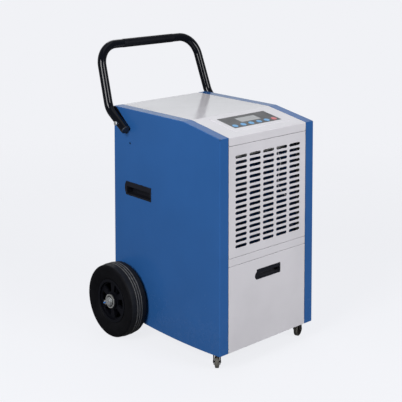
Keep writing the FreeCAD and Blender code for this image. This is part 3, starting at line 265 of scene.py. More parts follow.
def display_glass(slot):
    """Unlit grey segment display behind a clear window: faint segment rows, light haze."""
    g = Graph(slot)
    g.rounded(0.0004)
    base = srgb(164, 165, 168)
    x, y, z = g.xyz()
    cols = g.math("PINGPONG", g.math("ADD", x, 1.0), 0.0062)
    rows = g.math("PINGPONG", g.math("ADD", y, 1.0), 0.0088)
    seg = g.math("MINIMUM", g.ramp(cols, 0.0009, 0.0017), g.ramp(rows, 0.0010, 0.0020))
    col = g.mix(g.math("MULTIPLY", seg, 0.16), base, shade(base, 0.70))
    haze = g.ramp(g.noise(60.0, 4.0, 0.6), 0.4, 0.8)
    col = g.mix(g.math("MULTIPLY", haze, 0.12), col, shade(base, 1.2))
    MATS[slot] = g.done(col, g.ramp(haze, 0.0, 1.0, 0.14, 0.26), coat=0.35, coat_rough=0.05, spec=0.3)
    return MATS[slot]


def plastic(slot, base, rough=0.45, grain=0.12, grain_scale=900.0, coat=0.0, wear=0.15, sss=0.0, transmission=0.0, spec=0.4):
    """Moulded plastic with spark-eroded grain, scuffed edges and slightly uneven sheen."""
    g = Graph(slot)
    g.rounded(0.0006)
    cloud = g.noise(22.0, 3.0, 0.5)
    col = g.mix(g.ramp(cloud, 0.3, 0.7), shade(base, 0.93), shade(base, 1.07))
    edge = g.edge_mask(0.0010)
    scuff = g.ramp(g.noise(260.0, 4.0, 0.6), 0.40, 0.65)
    col = g.mix(g.math("MULTIPLY", g.math("MULTIPLY", edge, scuff), wear), col,
                tuple(min(1, c * 1.6 + 0.05) for c in base))
    r = g.math("ADD", g.ramp(g.noise(35.0, 4.0, 0.6), 0.3, 0.75, -0.04, 0.08), rough)
    g.bump(g.noise(grain_scale, 2.0, 0.6), grain, 0.0003)
    MATS[slot] = g.done(col, r, coat=coat, sss=sss, sss_radius=(0.006, 0.006, 0.006), transmission=transmission, spec=spec)
    return MATS[slot]


def rubber(slot, base, rough=0.7, grain=0.25, scale=700.0, dust_and_recess_light=0.12, spec=0.25):
    """Rubber: dull, fine pitted grain, chalky dust gathered on it."""
    g = Graph(slot)
    g.rounded(0.0009)
    cloud = g.noise(16.0, 4.0, 0.6)
    col = g.mix(g.ramp(cloud, 0.3, 0.7), shade(base, 0.85), shade(base, 1.15))
    bloom = g.ramp(g.noise(48.0, 6.0, 0.7), 0.50, 0.78)
    col = g.mix(g.math("MULTIPLY", bloom, dust_and_recess_light), col, (0.16, 0.15, 0.14))
    r = g.math("ADD", g.ramp(cloud, 0.3, 0.7, -0.05, 0.07), rough)
    g.bump(g.noise(scale, 3.0, 0.6), grain, 0.0003)
    MATS[slot] = g.done(col, r, spec=spec)
    return MATS[slot]


def tyre_rubber(slot):
    """Tyre: carcass black, circumferential mould lines on the wall, worn paler ribs on the crown."""
    g = Graph(slot)
    g.rounded(0.0010)
    x, y, z = g.xyz()
    side = 263.25 / 1000.0
    wy = WHEEL_CENTRE.y
    wz = WHEEL_CENTRE.z
    dy = g.math("SUBTRACT", y, wy)
    dz = g.math("SUBTRACT", z, wz)
    r2 = g.math("ADD", g.math("MULTIPLY", dy, dy), g.math("MULTIPLY", dz, dz))
    rad = g.math("SQRT", r2)
    base = (0.0048, 0.0050, 0.0064)
    cloud = g.noise(20.0, 4.0, 0.6)
    col = g.mix(g.ramp(cloud, 0.3, 0.7), shade(base, 0.8), shade(base, 1.25))
    band = g.ramp(rad, 0.1232, 0.1250)
    scuffs = g.ramp(g.noise(90.0, 5.0, 0.7, vec=g.coords((0.4, 1.0, 1.0))), 0.30, 0.70)
    col = g.mix(g.math("MULTIPLY", band, g.math("ADD", g.math("MULTIPLY", scuffs, 0.3), 0.35)), col, (0.020, 0.021, 0.024))
    ribs = g.ramp(rad, 0.1262, 0.1267)
    col = g.mix(g.math("MULTIPLY", ribs, g.math("ADD", g.math("MULTIPLY", scuffs, 0.35), 0.65)), col, (0.150, 0.148, 0.145))
    bloom = g.ramp(g.noise(40.0, 6.0, 0.7), 0.52, 0.80)
    col = g.mix(g.math("MULTIPLY", bloom, 0.04), col, (0.10, 0.10, 0.10))
    # fine moulded rings on the side wall
    rings = g.math("SINE", g.math("MULTIPLY", rad, 2 * math.pi / 0.0042))
    wall = g.math("MULTIPLY", g.ramp(rad, 0.080, 0.084), g.ramp(rad, 0.112, 0.107))
    g.bump(g.math("MULTIPLY", rings, wall), 0.30, 0.0003)
    g.bump(g.noise(650.0, 3.0, 0.6), 0.22, 0.0003)
    r = g.ramp(cloud, 0.3, 0.7, 0.46, 0.60)
    MATS[slot] = g.done(col, r, spec=g.math("ADD", g.math("MULTIPLY", band, 0.10), 0.08))
    return MATS[slot]


def galvanised(slot, base=(0.55, 0.56, 0.56), rough=0.38):
    """Hot-dip zinc sheet with spangle."""
    g = Graph(slot)
    g.rounded(0.0005)
    cells = g.voronoi(95.0, out="Color")
    s = g.new("ShaderNodeSeparateColor")
    g.link(cells, s.inputs[0])
    col = g.mix(g.ramp(s.outputs[0], 0.0, 1.0, 0.0, 1.0, False), shade(base, 0.84), shade(base, 1.14))
    stain = g.ramp(g.noise(12.0, 5.0, 0.65), 0.52, 0.78)
    col = g.mix(g.math("MULTIPLY", stain, 0.18), col, (0.36, 0.35, 0.32))
    r = g.ramp(s.outputs[1], 0.0, 1.0, rough - 0.08, rough + 0.12, False)
    g.bump(g.noise(300.0, 3.0, 0.6), 0.08, 0.0004)
    MATS[slot] = g.done(col, r, metallic=0.85)
    return MATS[slot]


def metal(slot, base, rough=0.28, streak=(1.0, 1.0, 1.0), streak_scale=420.0, tarnish=(0.25, 0.22, 0.2), tarnish_amt=0.2,
          metallic=1.0, bump=0.10):
    """Machined or plated metal: fine turning marks, tarnish in patches, bright edges."""
    g = Graph(slot)
    g.rounded(0.0005)
    marks = g.noise(streak_scale, 3.0, 0.5, vec=g.coords(streak))
    col = g.mix(g.ramp(marks, 0.3, 0.7), shade(base, 0.86), shade(base, 1.10))
    spots = g.ramp(g.noise(75.0, 5.0, 0.7), 0.50, 0.76)
    col = g.mix(g.math("MULTIPLY", spots, tarnish_amt), col, tarnish)
    edge = g.edge_mask(0.0008)
    col = g.mix(g.math("MULTIPLY", edge, 0.35), col, shade(base, 1.3))
    r = g.math("ADD", g.ramp(marks, 0.3, 0.7, -0.05, 0.08), rough)
    g.bump(marks, bump, 0.0002)
    MATS[slot] = g.done(col, r, metallic=metallic)
    return MATS[slot]


def fins(slot, base, rough=0.4, metallic=0.3):
    """Coated coil fins: a fine ripple along each plate and slightly uneven coating."""
    g = Graph(slot)
    g.rounded(0.0002)
    ripple = g.new("ShaderNodeTexWave", wave_type="BANDS", bands_direction="Y")
    g.link(g.tc.outputs["Object"], ripple.inputs["Vector"])
    ripple.inputs["Scale"].default_value = 90.0
    ripple.inputs["Distortion"].default_value = 0.3
    cloud = g.noise(30.0, 4.0, 0.6)
    col = g.mix(g.ramp(cloud, 0.3, 0.7), shade(base, 0.75), shade(base, 1.3))
    col = g.mix(g.math("MULTIPLY", g.ramp(g.noise(130.0, 4.0, 0.7), 0.55, 0.8), 0.15), col, shade(base, 2.2))
    g.bump(ripple.outputs["Fac"], 0.35, 0.0006)
    r = g.ramp(cloud, 0.3, 0.7, rough - 0.06, rough + 0.1)
    MATS[slot] = g.done(col, r, metallic=metallic)
    return MATS[slot]


def circuit(slot):
    """Green solder resist with a copper-coloured track grid and pale pads."""
    g = Graph(slot)
    g.rounded(0.0003)
    tracks = g.new("ShaderNodeTexBrick")
    g.link(g.tc.outputs["Object"], tracks.inputs["Vector"])
    tracks.inputs["Scale"].default_value = 120.0
    tracks.inputs["Mortar Size"].default_value = 0.03
    tracks.inputs["Color1"].default_value = (0.012, 0.12, 0.04, 1)
    tracks.inputs["Color2"].default_value = (0.014, 0.15, 0.05, 1)
    tracks.inputs["Mortar"].default_value = (0.05, 0.24, 0.08, 1)
    pads = g.ramp(g.voronoi(180.0), 0.16, 0.12)
    col = g.mix(g.math("MULTIPLY", pads, 0.8), tracks.outputs["Color"], (0.6, 0.58, 0.5))
    g.bump(tracks.outputs["Fac"], 0.3, 0.0003)
    MATS[slot] = g.done(col, 0.35, coat=0.4)
    return MATS[slot]


# wheel centre, used by the tyre's ring pattern
_lo, _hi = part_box("left_tyre")
WHEEL_CENTRE = (_lo + _hi) / 2

BLUE = (0.0255, 0.119, 0.362)
WHITE = srgb(223, 221, 227)
powder_coat("blue_paint", BLUE, rough=0.20, coat=0.0, peel=0.03, wear=0.22, dust_and_recess_light=0.02, spec=0.45)
powder_coat("white_paint", WHITE, rough=0.12, coat=0.0, peel=0.02, wear=0.0, dust_and_recess_light=0.02, spec=0.45)
powder_coat("black_paint", (0.005, 0.0055, 0.008), spec=0.3, rough=0.32, coat=0.0, peel=0.05, wear=0.4, dust_and_recess_light=0.0)
gloss_tube("black_gloss_paint")
powder_coat("machine_black", (0.010, 0.010, 0.011), rough=0.35, coat=0.0, peel=0.08, wear=0.3, dust_and_recess_light=0.0)
plastic("panel_grey", srgb(89, 89, 92), rough=0.38, grain=0.03, grain_scale=1500.0, spec=0.3)
display_glass("display_glass")
plastic("key_blue", srgb(112, 172, 220), rough=0.34, grain=0.04, grain_scale=1200.0, sss=0.1)
plastic("key_red", srgb(212, 120, 124), rough=0.34, grain=0.04, grain_scale=1200.0, sss=0.1)
plastic("black_plastic", (0.0125, 0.0132, 0.0190), rough=0.45, grain=0.12, spec=0.16)
plastic("dark_plastic", (0.028, 0.036, 0.051), rough=0.40, grain=0.10, spec=0.3)
plastic("tank_plastic", (0.74, 0.77, 0.80), rough=0.32, grain=0.06, sss=0.45)
plastic("float_foam", (0.78, 0.75, 0.66), rough=0.75, grain=0.5, grain_scale=500.0, sss=0.2)
plastic("filter_plastic", (0.020, 0.021, 0.025), rough=0.5, grain=0.15)
plastic("fan_plastic", (0.045, 0.047, 0.052), rough=0.38, grain=0.08)
plastic("rim_black", (0.0040, 0.0044, 0.0075), rough=0.50, spec=0.16, grain=0.22, grain_scale=700.0)
rubber("grip_rubber", (0.0034, 0.0040, 0.0072), rough=0.42, grain=0.12, scale=800.0, dust_and_recess_light=0.01, spec=0.16)
rubber("hose_rubber", (0.02, 0.02, 0.02), rough=0.55)
rubber("mount_rubber", (0.018, 0.018, 0.018), rough=0.7)


def caster_tread(side):
    """Grey tyre moulded round a dark core; the core shows on the sides, nearer the axle."""
    g = Graph("caster_grey_" + side)
    g.rounded(0.0006)
    lo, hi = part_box(side + "_caster_wheel")
    c = (lo + hi) / 2
    axis = Vector(next(j for j in record["behaviour"]["joints"] if j["name"] == side + "_caster_roll")["axis"]).normalized()
    off = g.new("ShaderNodeVectorMath", operation="SUBTRACT")
    g.link(g.tc.outputs["Object"], off.inputs[0])
    off.inputs[1].default_value = c
    cross = g.new("ShaderNodeVectorMath", operation="CROSS_PRODUCT")
    g.link(off.outputs[0], cross.inputs[0])
    cross.inputs[1].default_value = axis
    ln = g.new("ShaderNodeVectorMath", operation="LENGTH")
    g.link(cross.outputs[0], ln.inputs[0])
    rad = ln.outputs["Value"]
    cloud = g.noise(60.0, 4.0, 0.6)
    tread = g.mix(g.ramp(cloud, 0.3, 0.7), (0.105, 0.100, 0.088), (0.155, 0.148, 0.130))
    grit = g.ramp(g.noise(240.0, 5.0, 0.7), 0.52, 0.75)
    tread = g.mix(g.math("MULTIPLY", grit, 0.35), tread, (0.05, 0.045, 0.04))
    core = g.mix(g.ramp(cloud, 0.3, 0.7), (0.014, 0.012, 0.011), (0.024, 0.021, 0.019))
    col = g.mix(g.ramp(rad, 0.0170, 0.0180), core, tread)
    g.bump(g.noise(500.0, 3.0, 0.6), 0.15, 0.0003)
    return g.done(col, g.ramp(cloud, 0.3, 0.7, 0.45, 0.62), spec=0.3)


def pull_plastic():
    """Moulded pull: smooth dark face; the recess is painted lighter as painted light, with a random tone change, and it
    is rougher and less shiny.
    """
    g = Graph("pull_plastic")
    g.rounded(0.0006)
    lo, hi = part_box("drawer_pull")
    x, y, z = g.xyz()
    deep = g.ramp(y, lo.y + 0.0020, lo.y + 0.0060)
    cloud = g.noise(40.0, 3.0, 0.5)
    face = g.mix(g.ramp(cloud, 0.3, 0.7), (0.0085, 0.0092, 0.0140), (0.0115, 0.0122, 0.0180))
    # painted light: the recess gets a lighter colour than the face, standing in for light falling into it
    dust_and_recess_light = g.mix(g.ramp(g.noise(90.0, 5.0, 0.7), 0.3, 0.75), (0.038, 0.039, 0.048), (0.056, 0.056, 0.066))
    col = g.mix(deep, face, dust_and_recess_light)
    edge = g.edge_mask(0.0010)
    col = g.mix(g.math("MULTIPLY", edge, 0.10), col, (0.07, 0.07, 0.08))
    g.bump(g.noise(900.0, 2.0, 0.6), 0.14, 0.0003)
    return g.done(col, g.ramp(deep, 0.0, 1.0, 0.42, 0.62), spec=g.ramp(deep, 0.0, 1.0, 0.2, 0.1))


def hub_zinc(side):
    """Pressed zinc hub with painted shade in the groove round the inner disc and a painted highlight on the outer rim.
    """
    g = Graph("hub_zinc_" + side)
    g.rounded(0.0005)
    lo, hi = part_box(side + "_tyre")
    c = (lo + hi) / 2
    x, y, z = g.xyz()
    dy, dz = g.math("SUBTRACT", y, c.y), g.math("SUBTRACT", z, c.z)
    rad = g.math("SQRT", g.math("ADD", g.math("MULTIPLY", dy, dy), g.math("MULTIPLY", dz, dz)))
    marks = g.noise(420.0, 3.0, 0.5)
    col = g.mix(g.ramp(marks, 0.3, 0.7), (0.33, 0.34, 0.34), (0.49, 0.50, 0.50))
    spots = g.ramp(g.noise(120.0, 5.0, 0.7), 0.48, 0.76)
    col = g.mix(g.math("MULTIPLY", spots, 0.35), col, (0.24, 0.22, 0.18))
    ring = g.math("MULTIPLY", g.ramp(rad, 0.0150, 0.0158), g.ramp(rad, 0.0196, 0.0188))
    # painted shade: a dark ring over the groove round the inner disc, standing in for the shadow in the groove; the
    # metal is also made duller there
    groove_shade = g.math("MULTIPLY", ring, g.ramp(g.noise(60.0, 4.0, 0.6), 0.2, 0.6, 0.65, 0.95))
    col = g.mix(groove_shade, col, (0.012, 0.011, 0.012))
    # painted highlight: a bright band round the outer rim of the hub
    rim_highlight = g.ramp(rad, 0.0212, 0.0228)
    col = g.mix(g.math("MULTIPLY", rim_highlight, 0.6), col, (0.74, 0.74, 0.71))
    g.bump(marks, 0.10, 0.0002)
    met = g.math("MULTIPLY", g.math("SUBTRACT", 1.0, groove_shade), 0.62)
    return g.done(col, g.math("ADD", g.ramp(marks, 0.3, 0.7, 0.20, 0.34), g.math("MULTIPLY", groove_shade, 0.2)), metallic=met)


OWN_MATS = {"drawer_pull": pull_plastic(), "left_hub_bush": hub_zinc("left"), "right_hub_bush": hub_zinc("right"), "left_caster_wheel": caster_tread("left"), "right_caster_wheel": caster_tread("right")}

tyre_rubber("tyre")
galvanised("zinc_sheet")
metal("zinc_plate", (0.60, 0.62, 0.63), rough=0.24, streak=(6.0, 1.0, 1.0), tarnish=(0.34, 0.32, 0.26), tarnish_amt=0.25, metallic=0.7)
metal("brass", (0.48, 0.30, 0.12), rough=0.3, tarnish=(0.12, 0.06, 0.03), tarnish_amt=0.4)
metal("copper", (0.72, 0.36, 0.22), rough=0.27, streak=(1.0, 1.0, 0.2), tarnish=(0.28, 0.12, 0.08), tarnish_amt=0.35)
metal("caster_steel", (0.019, 0.017, 0.015), rough=0.46, tarnish=(0.012, 0.011, 0.010), tarnish_amt=0.4, metallic=0.25)
fins("fin_navy", (0.006, 0.058, 0.205), rough=0.42, metallic=0.1)
fins("fin_aluminium", (0.55, 0.57, 0.58), rough=0.32, metallic=0.9)
circuit("circuit_board")

for name, obj in nodes.items():
    mat = OWN_MATS.get(name) or MATS[SLOT_OF[name]]
    obj.data.materials.clear()
    obj.data.materials.append(mat)


# =====================================================================================
# extra pieces
# =====================================================================================
def add_piece(name, bm, body, slot, smooth=True, mat=None):
    me = bpy.data.meshes.new(name)
    bmesh.ops.recalc_face_normals(bm, faces=bm.faces)
    bm.to_mesh(me)
    bm.free()
    if smooth:
        for p in me.polygons:
            p.use_smooth = True
    me.materials.append(mat if mat is not None else MATS[slot])
    ob = bpy.data.objects.new(name, me)
    scene.collection.objects.link(ob)
    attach(ob, body)
    return ob


def catmull(pts, steps=10):
    P = [Vector(p) for p in pts]
    P = [P[0] * 2 - P[1]] + P + [P[-1] * 2 - P[-2]]
    res = []
    for i in range(1, len(P) - 2):
        for s in range(steps):
            t = s / steps
            a, b, c, d = P[i - 1], P[i], P[i + 1], P[i + 2]
            res.append(0.5 * ((2 * b) + (c - a) * t + (2 * a - 5 * b + 4 * c - d) * t * t + (3 * b - a - 3 * c + d) * t ** 3))
    res.append(P[-2])
    return res


def tube(pts, radius, sides=10, steps=10):
    """Closed round tube through the points."""
    path = catmull(pts, steps)
    bm = bmesh.new()
    rings = []
    up = Vector((0, 0, 1))
    prev = None
    for i, p in enumerate(path):
        t = (path[min(i + 1, len(path) - 1)] - path[max(i - 1, 0)]).normalized()
        if prev is None:
            n = t.cross(up)
            if n.length < 1e-3:
                n = t.cross(Vector((1, 0, 0)))
            n.normalize()
        else:
            n = (prev - t * prev.dot(t)).normalized()
        prev = n
        b = t.cross(n)
        rings.append([bm.verts.new(p + (n * math.cos(2 * math.pi * k / sides) + b * math.sin(2 * math.pi * k / sides)) * radius)
                      for k in range(sides)])
    for a, b in zip(rings, rings[1:]):
        for k in range(sides):
            bm.faces.new((a[k], a[(k + 1) % sides], b[(k + 1) % sides], b[k]))
    bm.faces.new(rings[0][::-1])
    bm.faces.new(rings[-1])
    return bm


def lathe(profile, origin, axis, sides=40, knurl=0, depth=0.0):
    """Closed lathe form about an axis; profile is (distance along axis, radius), starting and ending on the axis."""
    axis = Vector(axis).normalized()
    u = axis.orthogonal().normalized()
    v = axis.cross(u)
    bm = bmesh.new()
    o = Vector(origin)
    rings = []
    for h, r in profile:
        if r < 1e-7:
            rings.append([bm.verts.new(o + axis * h)])
            continue
        ring = []
        for k in range(sides):
            a = 2 * math.pi * k / sides
            rr = r - (depth if knurl and (k % 2) else 0.0)
            ring.append(bm.verts.new(o + axis * h + (u * math.cos(a) + v * math.sin(a)) * rr))
        rings.append(ring)
    for a, b in zip(rings, rings[1:]):
        for k in range(sides):
            if len(a) == 1:
                bm.faces.new((a[0], b[(k + 1) % sides], b[k]))
            elif len(b) == 1:
                bm.faces.new((a[k], a[(k + 1) % sides], b[0]))
            else:
                bm.faces.new((a[k], a[(k + 1) % sides], b[(k + 1) % sides], b[k]))
    return bm


FRONT = CAD_BOX[0][1] * 1000.0 + 311.9 - 1.0


def metres(x, y, z):
    """Millimetres to metres, with y measured so that the case front lies at -310.9."""
    return Vector((x, y + FRONT, z)) / 1000.0


# close-pitched coil fins in place of the coarse CAD stack
def fin_stack(name, node, slot, count=110, thick=0.00028):
    lo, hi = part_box(node)
    y0, y1, z0, z1 = lo.y, hi.y, lo.z, hi.z
    rows = (y0 + 0.009, y0 + 0.029)
    zs = [z0 + 0.020 + i * (z1 - z0 - 0.040) / 9 for i in range(10)]
    flat = bmesh.new()

    def loop(pts):
        vs = [flat.verts.new((0, *p)) for p in pts]
        for k in range(len(vs)):
            flat.edges.new((vs[k], vs[(k + 1) % len(vs)]))

    # outer edge with shallow corrugation along the front and back
    n = 24
    front = [(y0 + (0.0007 if k % 2 else 0.0), z0 + (z1 - z0) * k / n) for k in range(n + 1)]
    back = [(y1 - (0.0007 if k % 2 else 0.0), z1 - (z1 - z0) * k / n) for k in range(n + 1)]
    loop(front + back)
    for y in rows:
        for z in zs:
            loop([(y + 0.00520 * math.cos(2 * math.pi * k / 10), z + 0.00520 * math.sin(2 * math.pi * k / 10)) for k in range(10)])
    bmesh.ops.triangle_fill(flat, use_beauty=True, use_dissolve=False, edges=flat.edges[:])
    ext = bmesh.ops.extrude_face_region(flat, geom=flat.faces[:] + flat.edges[:])
    for v in ext["geom"]:
        if isinstance(v, bmesh.types.BMVert):
            v.co.x += thick
    bmesh.ops.recalc_face_normals(flat, faces=flat.faces)
    flat.verts.index_update()
    one_v = [v.co.copy() for v in flat.verts]
    one_f = [[v.index for v in f.verts] for f in flat.faces]
    flat.free()
    verts, faces = [], []
    for i in range(count):
        x = lo.x + i * (hi.x - lo.x - thick) / (count - 1)
        base = len(verts)
        verts += [(v.x + x, v.y, v.z) for v in one_v]
        faces += [[a + base for a in f] for f in one_f]
    me = bpy.data.meshes.new(name)
    me.from_pydata(verts, [], faces)
    me.update()
    me.materials.append(MATS[slot])
    ob = bpy.data.objects.new(name, me)
    scene.collection.objects.link(ob)
    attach(ob, "case")
    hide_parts(node)
    return ob


fin_stack("evaporator_fin_stack", "evaporator_fins", SLOT_OF["evaporator_fins"])
fin_stack("condenser_fin_stack", "condenser_fins", SLOT_OF["condenser_fins"])

# knurled dust caps on the tyre valves
CAP_BLUE = plastic("valve_cap_blue", srgb(66, 126, 200), rough=0.35, grain=0.05)
for side, sx in (("left", -1), ("right", 1)):
    lo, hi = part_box(side + "_valve_stem")
    mesh = nodes[side + "_valve_stem"].data
    xe = lo.x if sx < 0 else hi.x
    end = [v.co for v in mesh.vertices if abs(v.co.x - xe) < 0.0004]
    cy = sum(c.y for c in end) / len(end)
    cz = sum(c.z for c in end) / len(end)
    prof = [(0.0001, 0.0), (0.0001, 0.0034), (0.0010, 0.0036), (0.0042, 0.0034), (0.0050, 0.0028), (0.0052, 0.0)]
    cap = add_piece(side + "_valve_cap", lathe(prof, (xe, cy, cz), (sx, 0, 0), sides=28, knurl=1, depth=0.0003),
                    side + "_wheel", "key_blue", mat=CAP_BLUE)

# temperature probe lead hanging in front of the cold coil
plastic("lead_white", srgb(205, 210, 215), rough=0.4, grain=0.03)
PROBE = [metres(64, -290.3, 700), metres(67.4, -290.3, 674.2), metres(74.9, -290.3, 656.3), metres(78.4, -290.3, 639.7),
         metres(71.3, -290.3, 620.7), metres(69.5, -290.3, 603.3), metres(67.3, -290.3, 584.5), metres(66.5, -290.3, 566.2),
         metres(83.2, -290.3, 544.6), metres(99.1, -290.3, 528.9)]
add_piece("coil_probe_lead", tube(PROBE, 0.0016, sides=10, steps=6), "case", "hose_rubber", mat=MATS["lead_white"])
bulb = [(0.0, 0.0), (0.0002, 0.0016), (0.0012, 0.0024), (0.0200, 0.0024), (0.0218, 0.0012), (0.0220, 0.0)]
d_end = (PROBE[-1] - PROBE[-2]).normalized()
add_piece("coil_probe_bulb", lathe(bulb, PROBE[-1] + d_end * 0.0003, d_end, sides=20), "case", "zinc_plate")

# wiring between the electrical box and what it feeds
LEADS = {
    "mains_cable": ([(123, 207.5, 167.7), (122, 196, 168), (90, 192, 176), (10, 200, 215), (-90, 190, 262), (-138, 160, 300), (-148.6, 140, 318)], 3.4),
    "compressor_cable": ([(92, 110, 318.2), (92, 116, 340), (60, 140, 370), (-30, 150, 390), (-110, 132, 396), (-148.6, 122, 396)], 3.0),
    "fan_motor_cable": ([(0, -57.0, 540), (-6, -38, 528), (-50, -10, 500), (-100, 40, 450), (-135, 80, 422), (-148.6, 92, 412)], 2.4),
    "float_switch_lead": ([(124, 23.6, 318), (122, 34, 330), (90, 44, 380), (0, 46, 420), (-90, 50, 440), (-136, 74, 440), (-148.6, 84, 436)], 1.8),
    "control_ribbon_lead": ([(91, -182, 762), (100, -170, 752), (150, -150, 742), (196, -100, 700), (200, -20, 600), (150, 40, 520), (20, 60, 470),
                             (-90, 72, 452), (-138, 84, 450), (-148.6, 96, 448)], 2.2),
}
for lead, (pts, rad) in LEADS.items():
    add_piece(lead, tube([metres(*p) for p in pts], rad / 1000.0, sides=12, steps=8), "case", "hose_rubber")


# =====================================================================================
# stage, camera, light
# =====================================================================================
def build_stage():
    bm = bmesh.new()
    rings, seg = [0.0, 0.6, 1.2, 1.8, 2.4, 3.0, 3.6, 4.4], 96
    c = bm.verts.new((0, 0, 0))
    last = None
    for r in rings[1:]:
        ring = [bm.verts.new((r * math.cos(2 * math.pi * k / seg), r * math.sin(2 * math.pi * k / seg), 0)) for k in range(seg)]
        for k in range(seg):
            if last is None:
                bm.faces.new((c, ring[k], ring[(k + 1) % seg]))
            else:
                bm.faces.new((last[k], ring[k], ring[(k + 1) % seg], last[(k + 1) % seg]))
        last = ring
    me = bpy.data.meshes.new("studio_floor")
    bm.to_mesh(me)
    bm.free()
    ob = bpy.data.objects.new("studio_floor", me)
    scene.collection.objects.link(ob)
    ob.location.z = -0.0005
    m = bpy.data.materials.new("studio_floor")
    m.use_nodes = True
    nt = m.node_tree
    nt.nodes.clear()
    out = nt.nodes.new("ShaderNodeOutputMaterial")
    lp = nt.nodes.new("ShaderNodeLightPath")
    dif = nt.nodes.new("ShaderNodeBsdfDiffuse")
    dif.inputs["Color"].default_value = (*[c * FLOOR_DIFFUSE for c in BACK], 1)
    emi = nt.nodes.new("ShaderNodeEmission")
    emi.inputs["Color"].default_value = (*BACK, 1)
    glow = nt.nodes.new("ShaderNodeMapRange")
    glow.inputs["To Min"].default_value = FLOOR_GLOW
    glow.inputs["To Max"].default_value = FLOOR_EMIT
    nt.links.new(lp.outputs["Is Camera Ray"], glow.inputs["Value"])
    nt.links.new(glow.outputs["Result"], emi.inputs["Strength"])
    add = nt.nodes.new("ShaderNodeAddShader")
    nt.links.new(dif.outputs[0], add.inputs[0])
    nt.links.new(emi.outputs[0], add.inputs[1])
    clear = nt.nodes.new("ShaderNodeBsdfTransparent")
    mix = nt.nodes.new("ShaderNodeMixShader")
    tc = nt.nodes.new("ShaderNodeTexCoord")
    ln = nt.nodes.new("ShaderNodeVectorMath")
    ln.operation = "LENGTH"
    nt.links.new(tc.outputs["Object"], ln.inputs[0])
    mr = nt.nodes.new("ShaderNodeMapRange")
    mr.interpolation_type = "SMOOTHERSTEP"
    mr.inputs["From Min"].default_value = 1.0
    mr.inputs["From Max"].default_value = 3.6
    nt.links.new(ln.outputs["Value"], mr.inputs["Value"])
    nt.links.new(mr.outputs["Result"], mix.inputs[0])
    nt.links.new(add.outputs[0], mix.inputs[1])
    nt.links.new(clear.outputs[0], mix.inputs[2])
    nt.links.new(mix.outputs[0], out.inputs["Surface"])
    me.materials.append(m)
    return ob


BACK = srgb(241, 242, 246)
FLOOR_EMIT = 0.906
FLOOR_GLOW = 0.06
FLOOR_DIFFUSE = 0.12


def build_world():
    """Camera rays see the plain pale backdrop. Everything else sees a pale wall behind and a dim room in front."""
    w = bpy.data.worlds.new("studio")
    scene.world = w
    w.use_nodes = True
    nt = w.node_tree
    nt.nodes.clear()
    out = nt.nodes.new("ShaderNodeOutputWorld")
    lp = nt.nodes.new("ShaderNodeLightPath")
    seen = nt.nodes.new("ShaderNodeBackground")
    seen.inputs["Color"].default_value = (*BACK, 1)
    light = nt.nodes.new("ShaderNodeBackground")
    tc = nt.nodes.new("ShaderNodeTexCoord")
    dot = nt.nodes.new("ShaderNodeVectorMath")
    dot.operation = "DOT_PRODUCT"
    nt.links.new(tc.outputs["Generated"], dot.inputs[0])
    dot.inputs[1].default_value = (0.62, 0.78, 0.08)
    wall = nt.nodes.new("ShaderNodeMapRange")
    wall.interpolation_type = "SMOOTHSTEP"
    wall.inputs["From Min"].default_value = -0.35
    wall.inputs["From Max"].default_value = 0.85
    wall.inputs["To Min"].default_value = ROOM
    wall.inputs["To Max"].default_value = WALL
    nt.links.new(dot.outputs["Value"], wall.inputs["Value"])
    sep = nt.nodes.new("ShaderNodeSeparateXYZ")
    nt.links.new(tc.outputs["Generated"], sep.inputs[0])
    low = nt.nodes.new("ShaderNodeMapRange")
    low.interpolation_type = "SMOOTHSTEP"
    low.inputs["From Min"].default_value = -0.35
    low.inputs["From Max"].default_value = 0.0
    low.inputs["To Min"].default_value = 0.55
    low.inputs["To Max"].default_value = 1.0
    nt.links.new(sep.outputs["Z"], low.inputs["Value"])
    mul = nt.nodes.new("ShaderNodeMath")
    mul.operation = "MULTIPLY"
    nt.links.new(wall.outputs["Result"], mul.inputs[0])
    nt.links.new(low.outputs["Result"], mul.inputs[1])
    light.inputs["Color"].default_value = (0.97, 0.98, 1.0, 1)
    nt.links.new(mul.outputs[0], light.inputs["Strength"])
    mix = nt.nodes.new("ShaderNodeMixShader")
    nt.links.new(lp.outputs["Is Camera Ray"], mix.inputs[0])
    nt.links.new(light.outputs[0], mix.inputs[1])
    nt.links.new(seen.outputs[0], mix.inputs[2])
    nt.links.new(mix.outputs[0], out.inputs["Surface"])


ROOM, WALL = 0.13, 0.34


KEY, FILL, TOP, REAR, CARD = 96, 100, 4, 14, 5.6


def softbox(name, loc, target, size, power, color=(1, 1, 1), size_y=None):
    l = bpy.data.lights.new(name, "AREA")
    l.energy = power
    l.color = color
    l.shape = "RECTANGLE"
    l.size = size
    l.size_y = size_y or size
    o = bpy.data.objects.new(name, l)
    scene.collection.objects.link(o)
    o.location = loc
    o.rotation_mode = "QUATERNION"
    o.rotation_quaternion = (Vector(target) - Vector(loc)).to_track_quat("-Z", "Y")
    return o


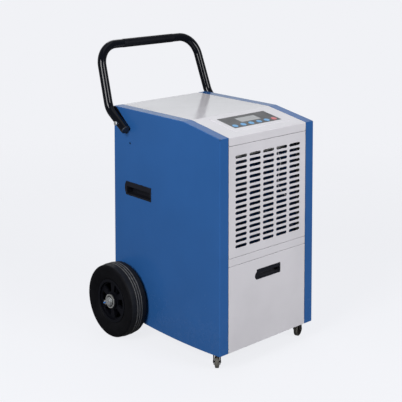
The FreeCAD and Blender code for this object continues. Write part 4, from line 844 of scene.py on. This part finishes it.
build_stage()
build_world()
softbox("key_left", (-3.1, -0.8, 2.2), (0, 0, 0.6), 1.4, KEY, size_y=1.8)
softbox("fill_front", (0.6, -3.8, 2.1), (0, 0, 0.5), 1.6, FILL, size_y=2.2)
softbox("top_soft", (0.0, -0.3, 3.3), (0, 0, 0.4), 1.8, TOP)
softbox("rear_fill", (1.7, 3.0, 3.3), (0, 0, 0.5), 1.6, REAR)
softbox("rear_card", (2.6, 2.6, 2.2), (0, 0, 0.5), 1.8, CARD, color=(0.93, 1.0, 1.0))

cam_data = bpy.data.cameras.new("camera")
cam = bpy.data.objects.new("camera", cam_data)
scene.collection.objects.link(cam)
scene.camera = cam
CAM_POS = Vector((-2.3561, -2.5925 + FRONT / 1000.0, 1.4750))
YAW, PITCH, ROLL = math.radians(42.01), math.radians(4.66), math.radians(-0.03)
forward = Vector((math.sin(YAW) * math.cos(PITCH), math.cos(YAW) * math.cos(PITCH), -math.sin(PITCH)))
right = Vector((math.cos(YAW), -math.sin(YAW), 0.0))
up = right.cross(forward)
right, up = right * math.cos(ROLL) + up * math.sin(ROLL), up * math.cos(ROLL) - right * math.sin(ROLL)
m = Matrix((right, up, -forward)).transposed().to_4x4()
m.translation = CAM_POS
cam.matrix_world = m
cam_data.sensor_fit = "HORIZONTAL"
cam_data.sensor_width = 36.0
cam_data.lens = 1010.8 / 402.0 * 36.0
cam_data.shift_x = 0.00075
cam_data.clip_start, cam_data.clip_end = 0.05, 60.0
# The picture was made with a risen lens. The rise belongs to this one position, so it falls to nothing
# when the camera is moved elsewhere for another view.
LENS_RISE = -0.5097
anchor = bpy.data.objects.new("camera_anchor", None)
scene.collection.objects.link(anchor)
anchor.location = CAM_POS
curve = cam_data.driver_add("shift_y")
for mod in list(curve.modifiers):
    curve.modifiers.remove(mod)
curve.driver.type = "SUM"
var = curve.driver.variables.new()
var.type = "LOC_DIFF"
var.targets[0].id = cam
var.targets[1].id = anchor
curve.keyframe_points.insert(0.0, LENS_RISE)
curve.keyframe_points.insert(0.06, LENS_RISE)
curve.keyframe_points.insert(0.12, 0.0)
for k in curve.keyframe_points:
    k.interpolation = "LINEAR"
curve.extrapolation = "CONSTANT"

scene.view_settings.view_transform = "Standard"
scene.view_settings.look = "None"
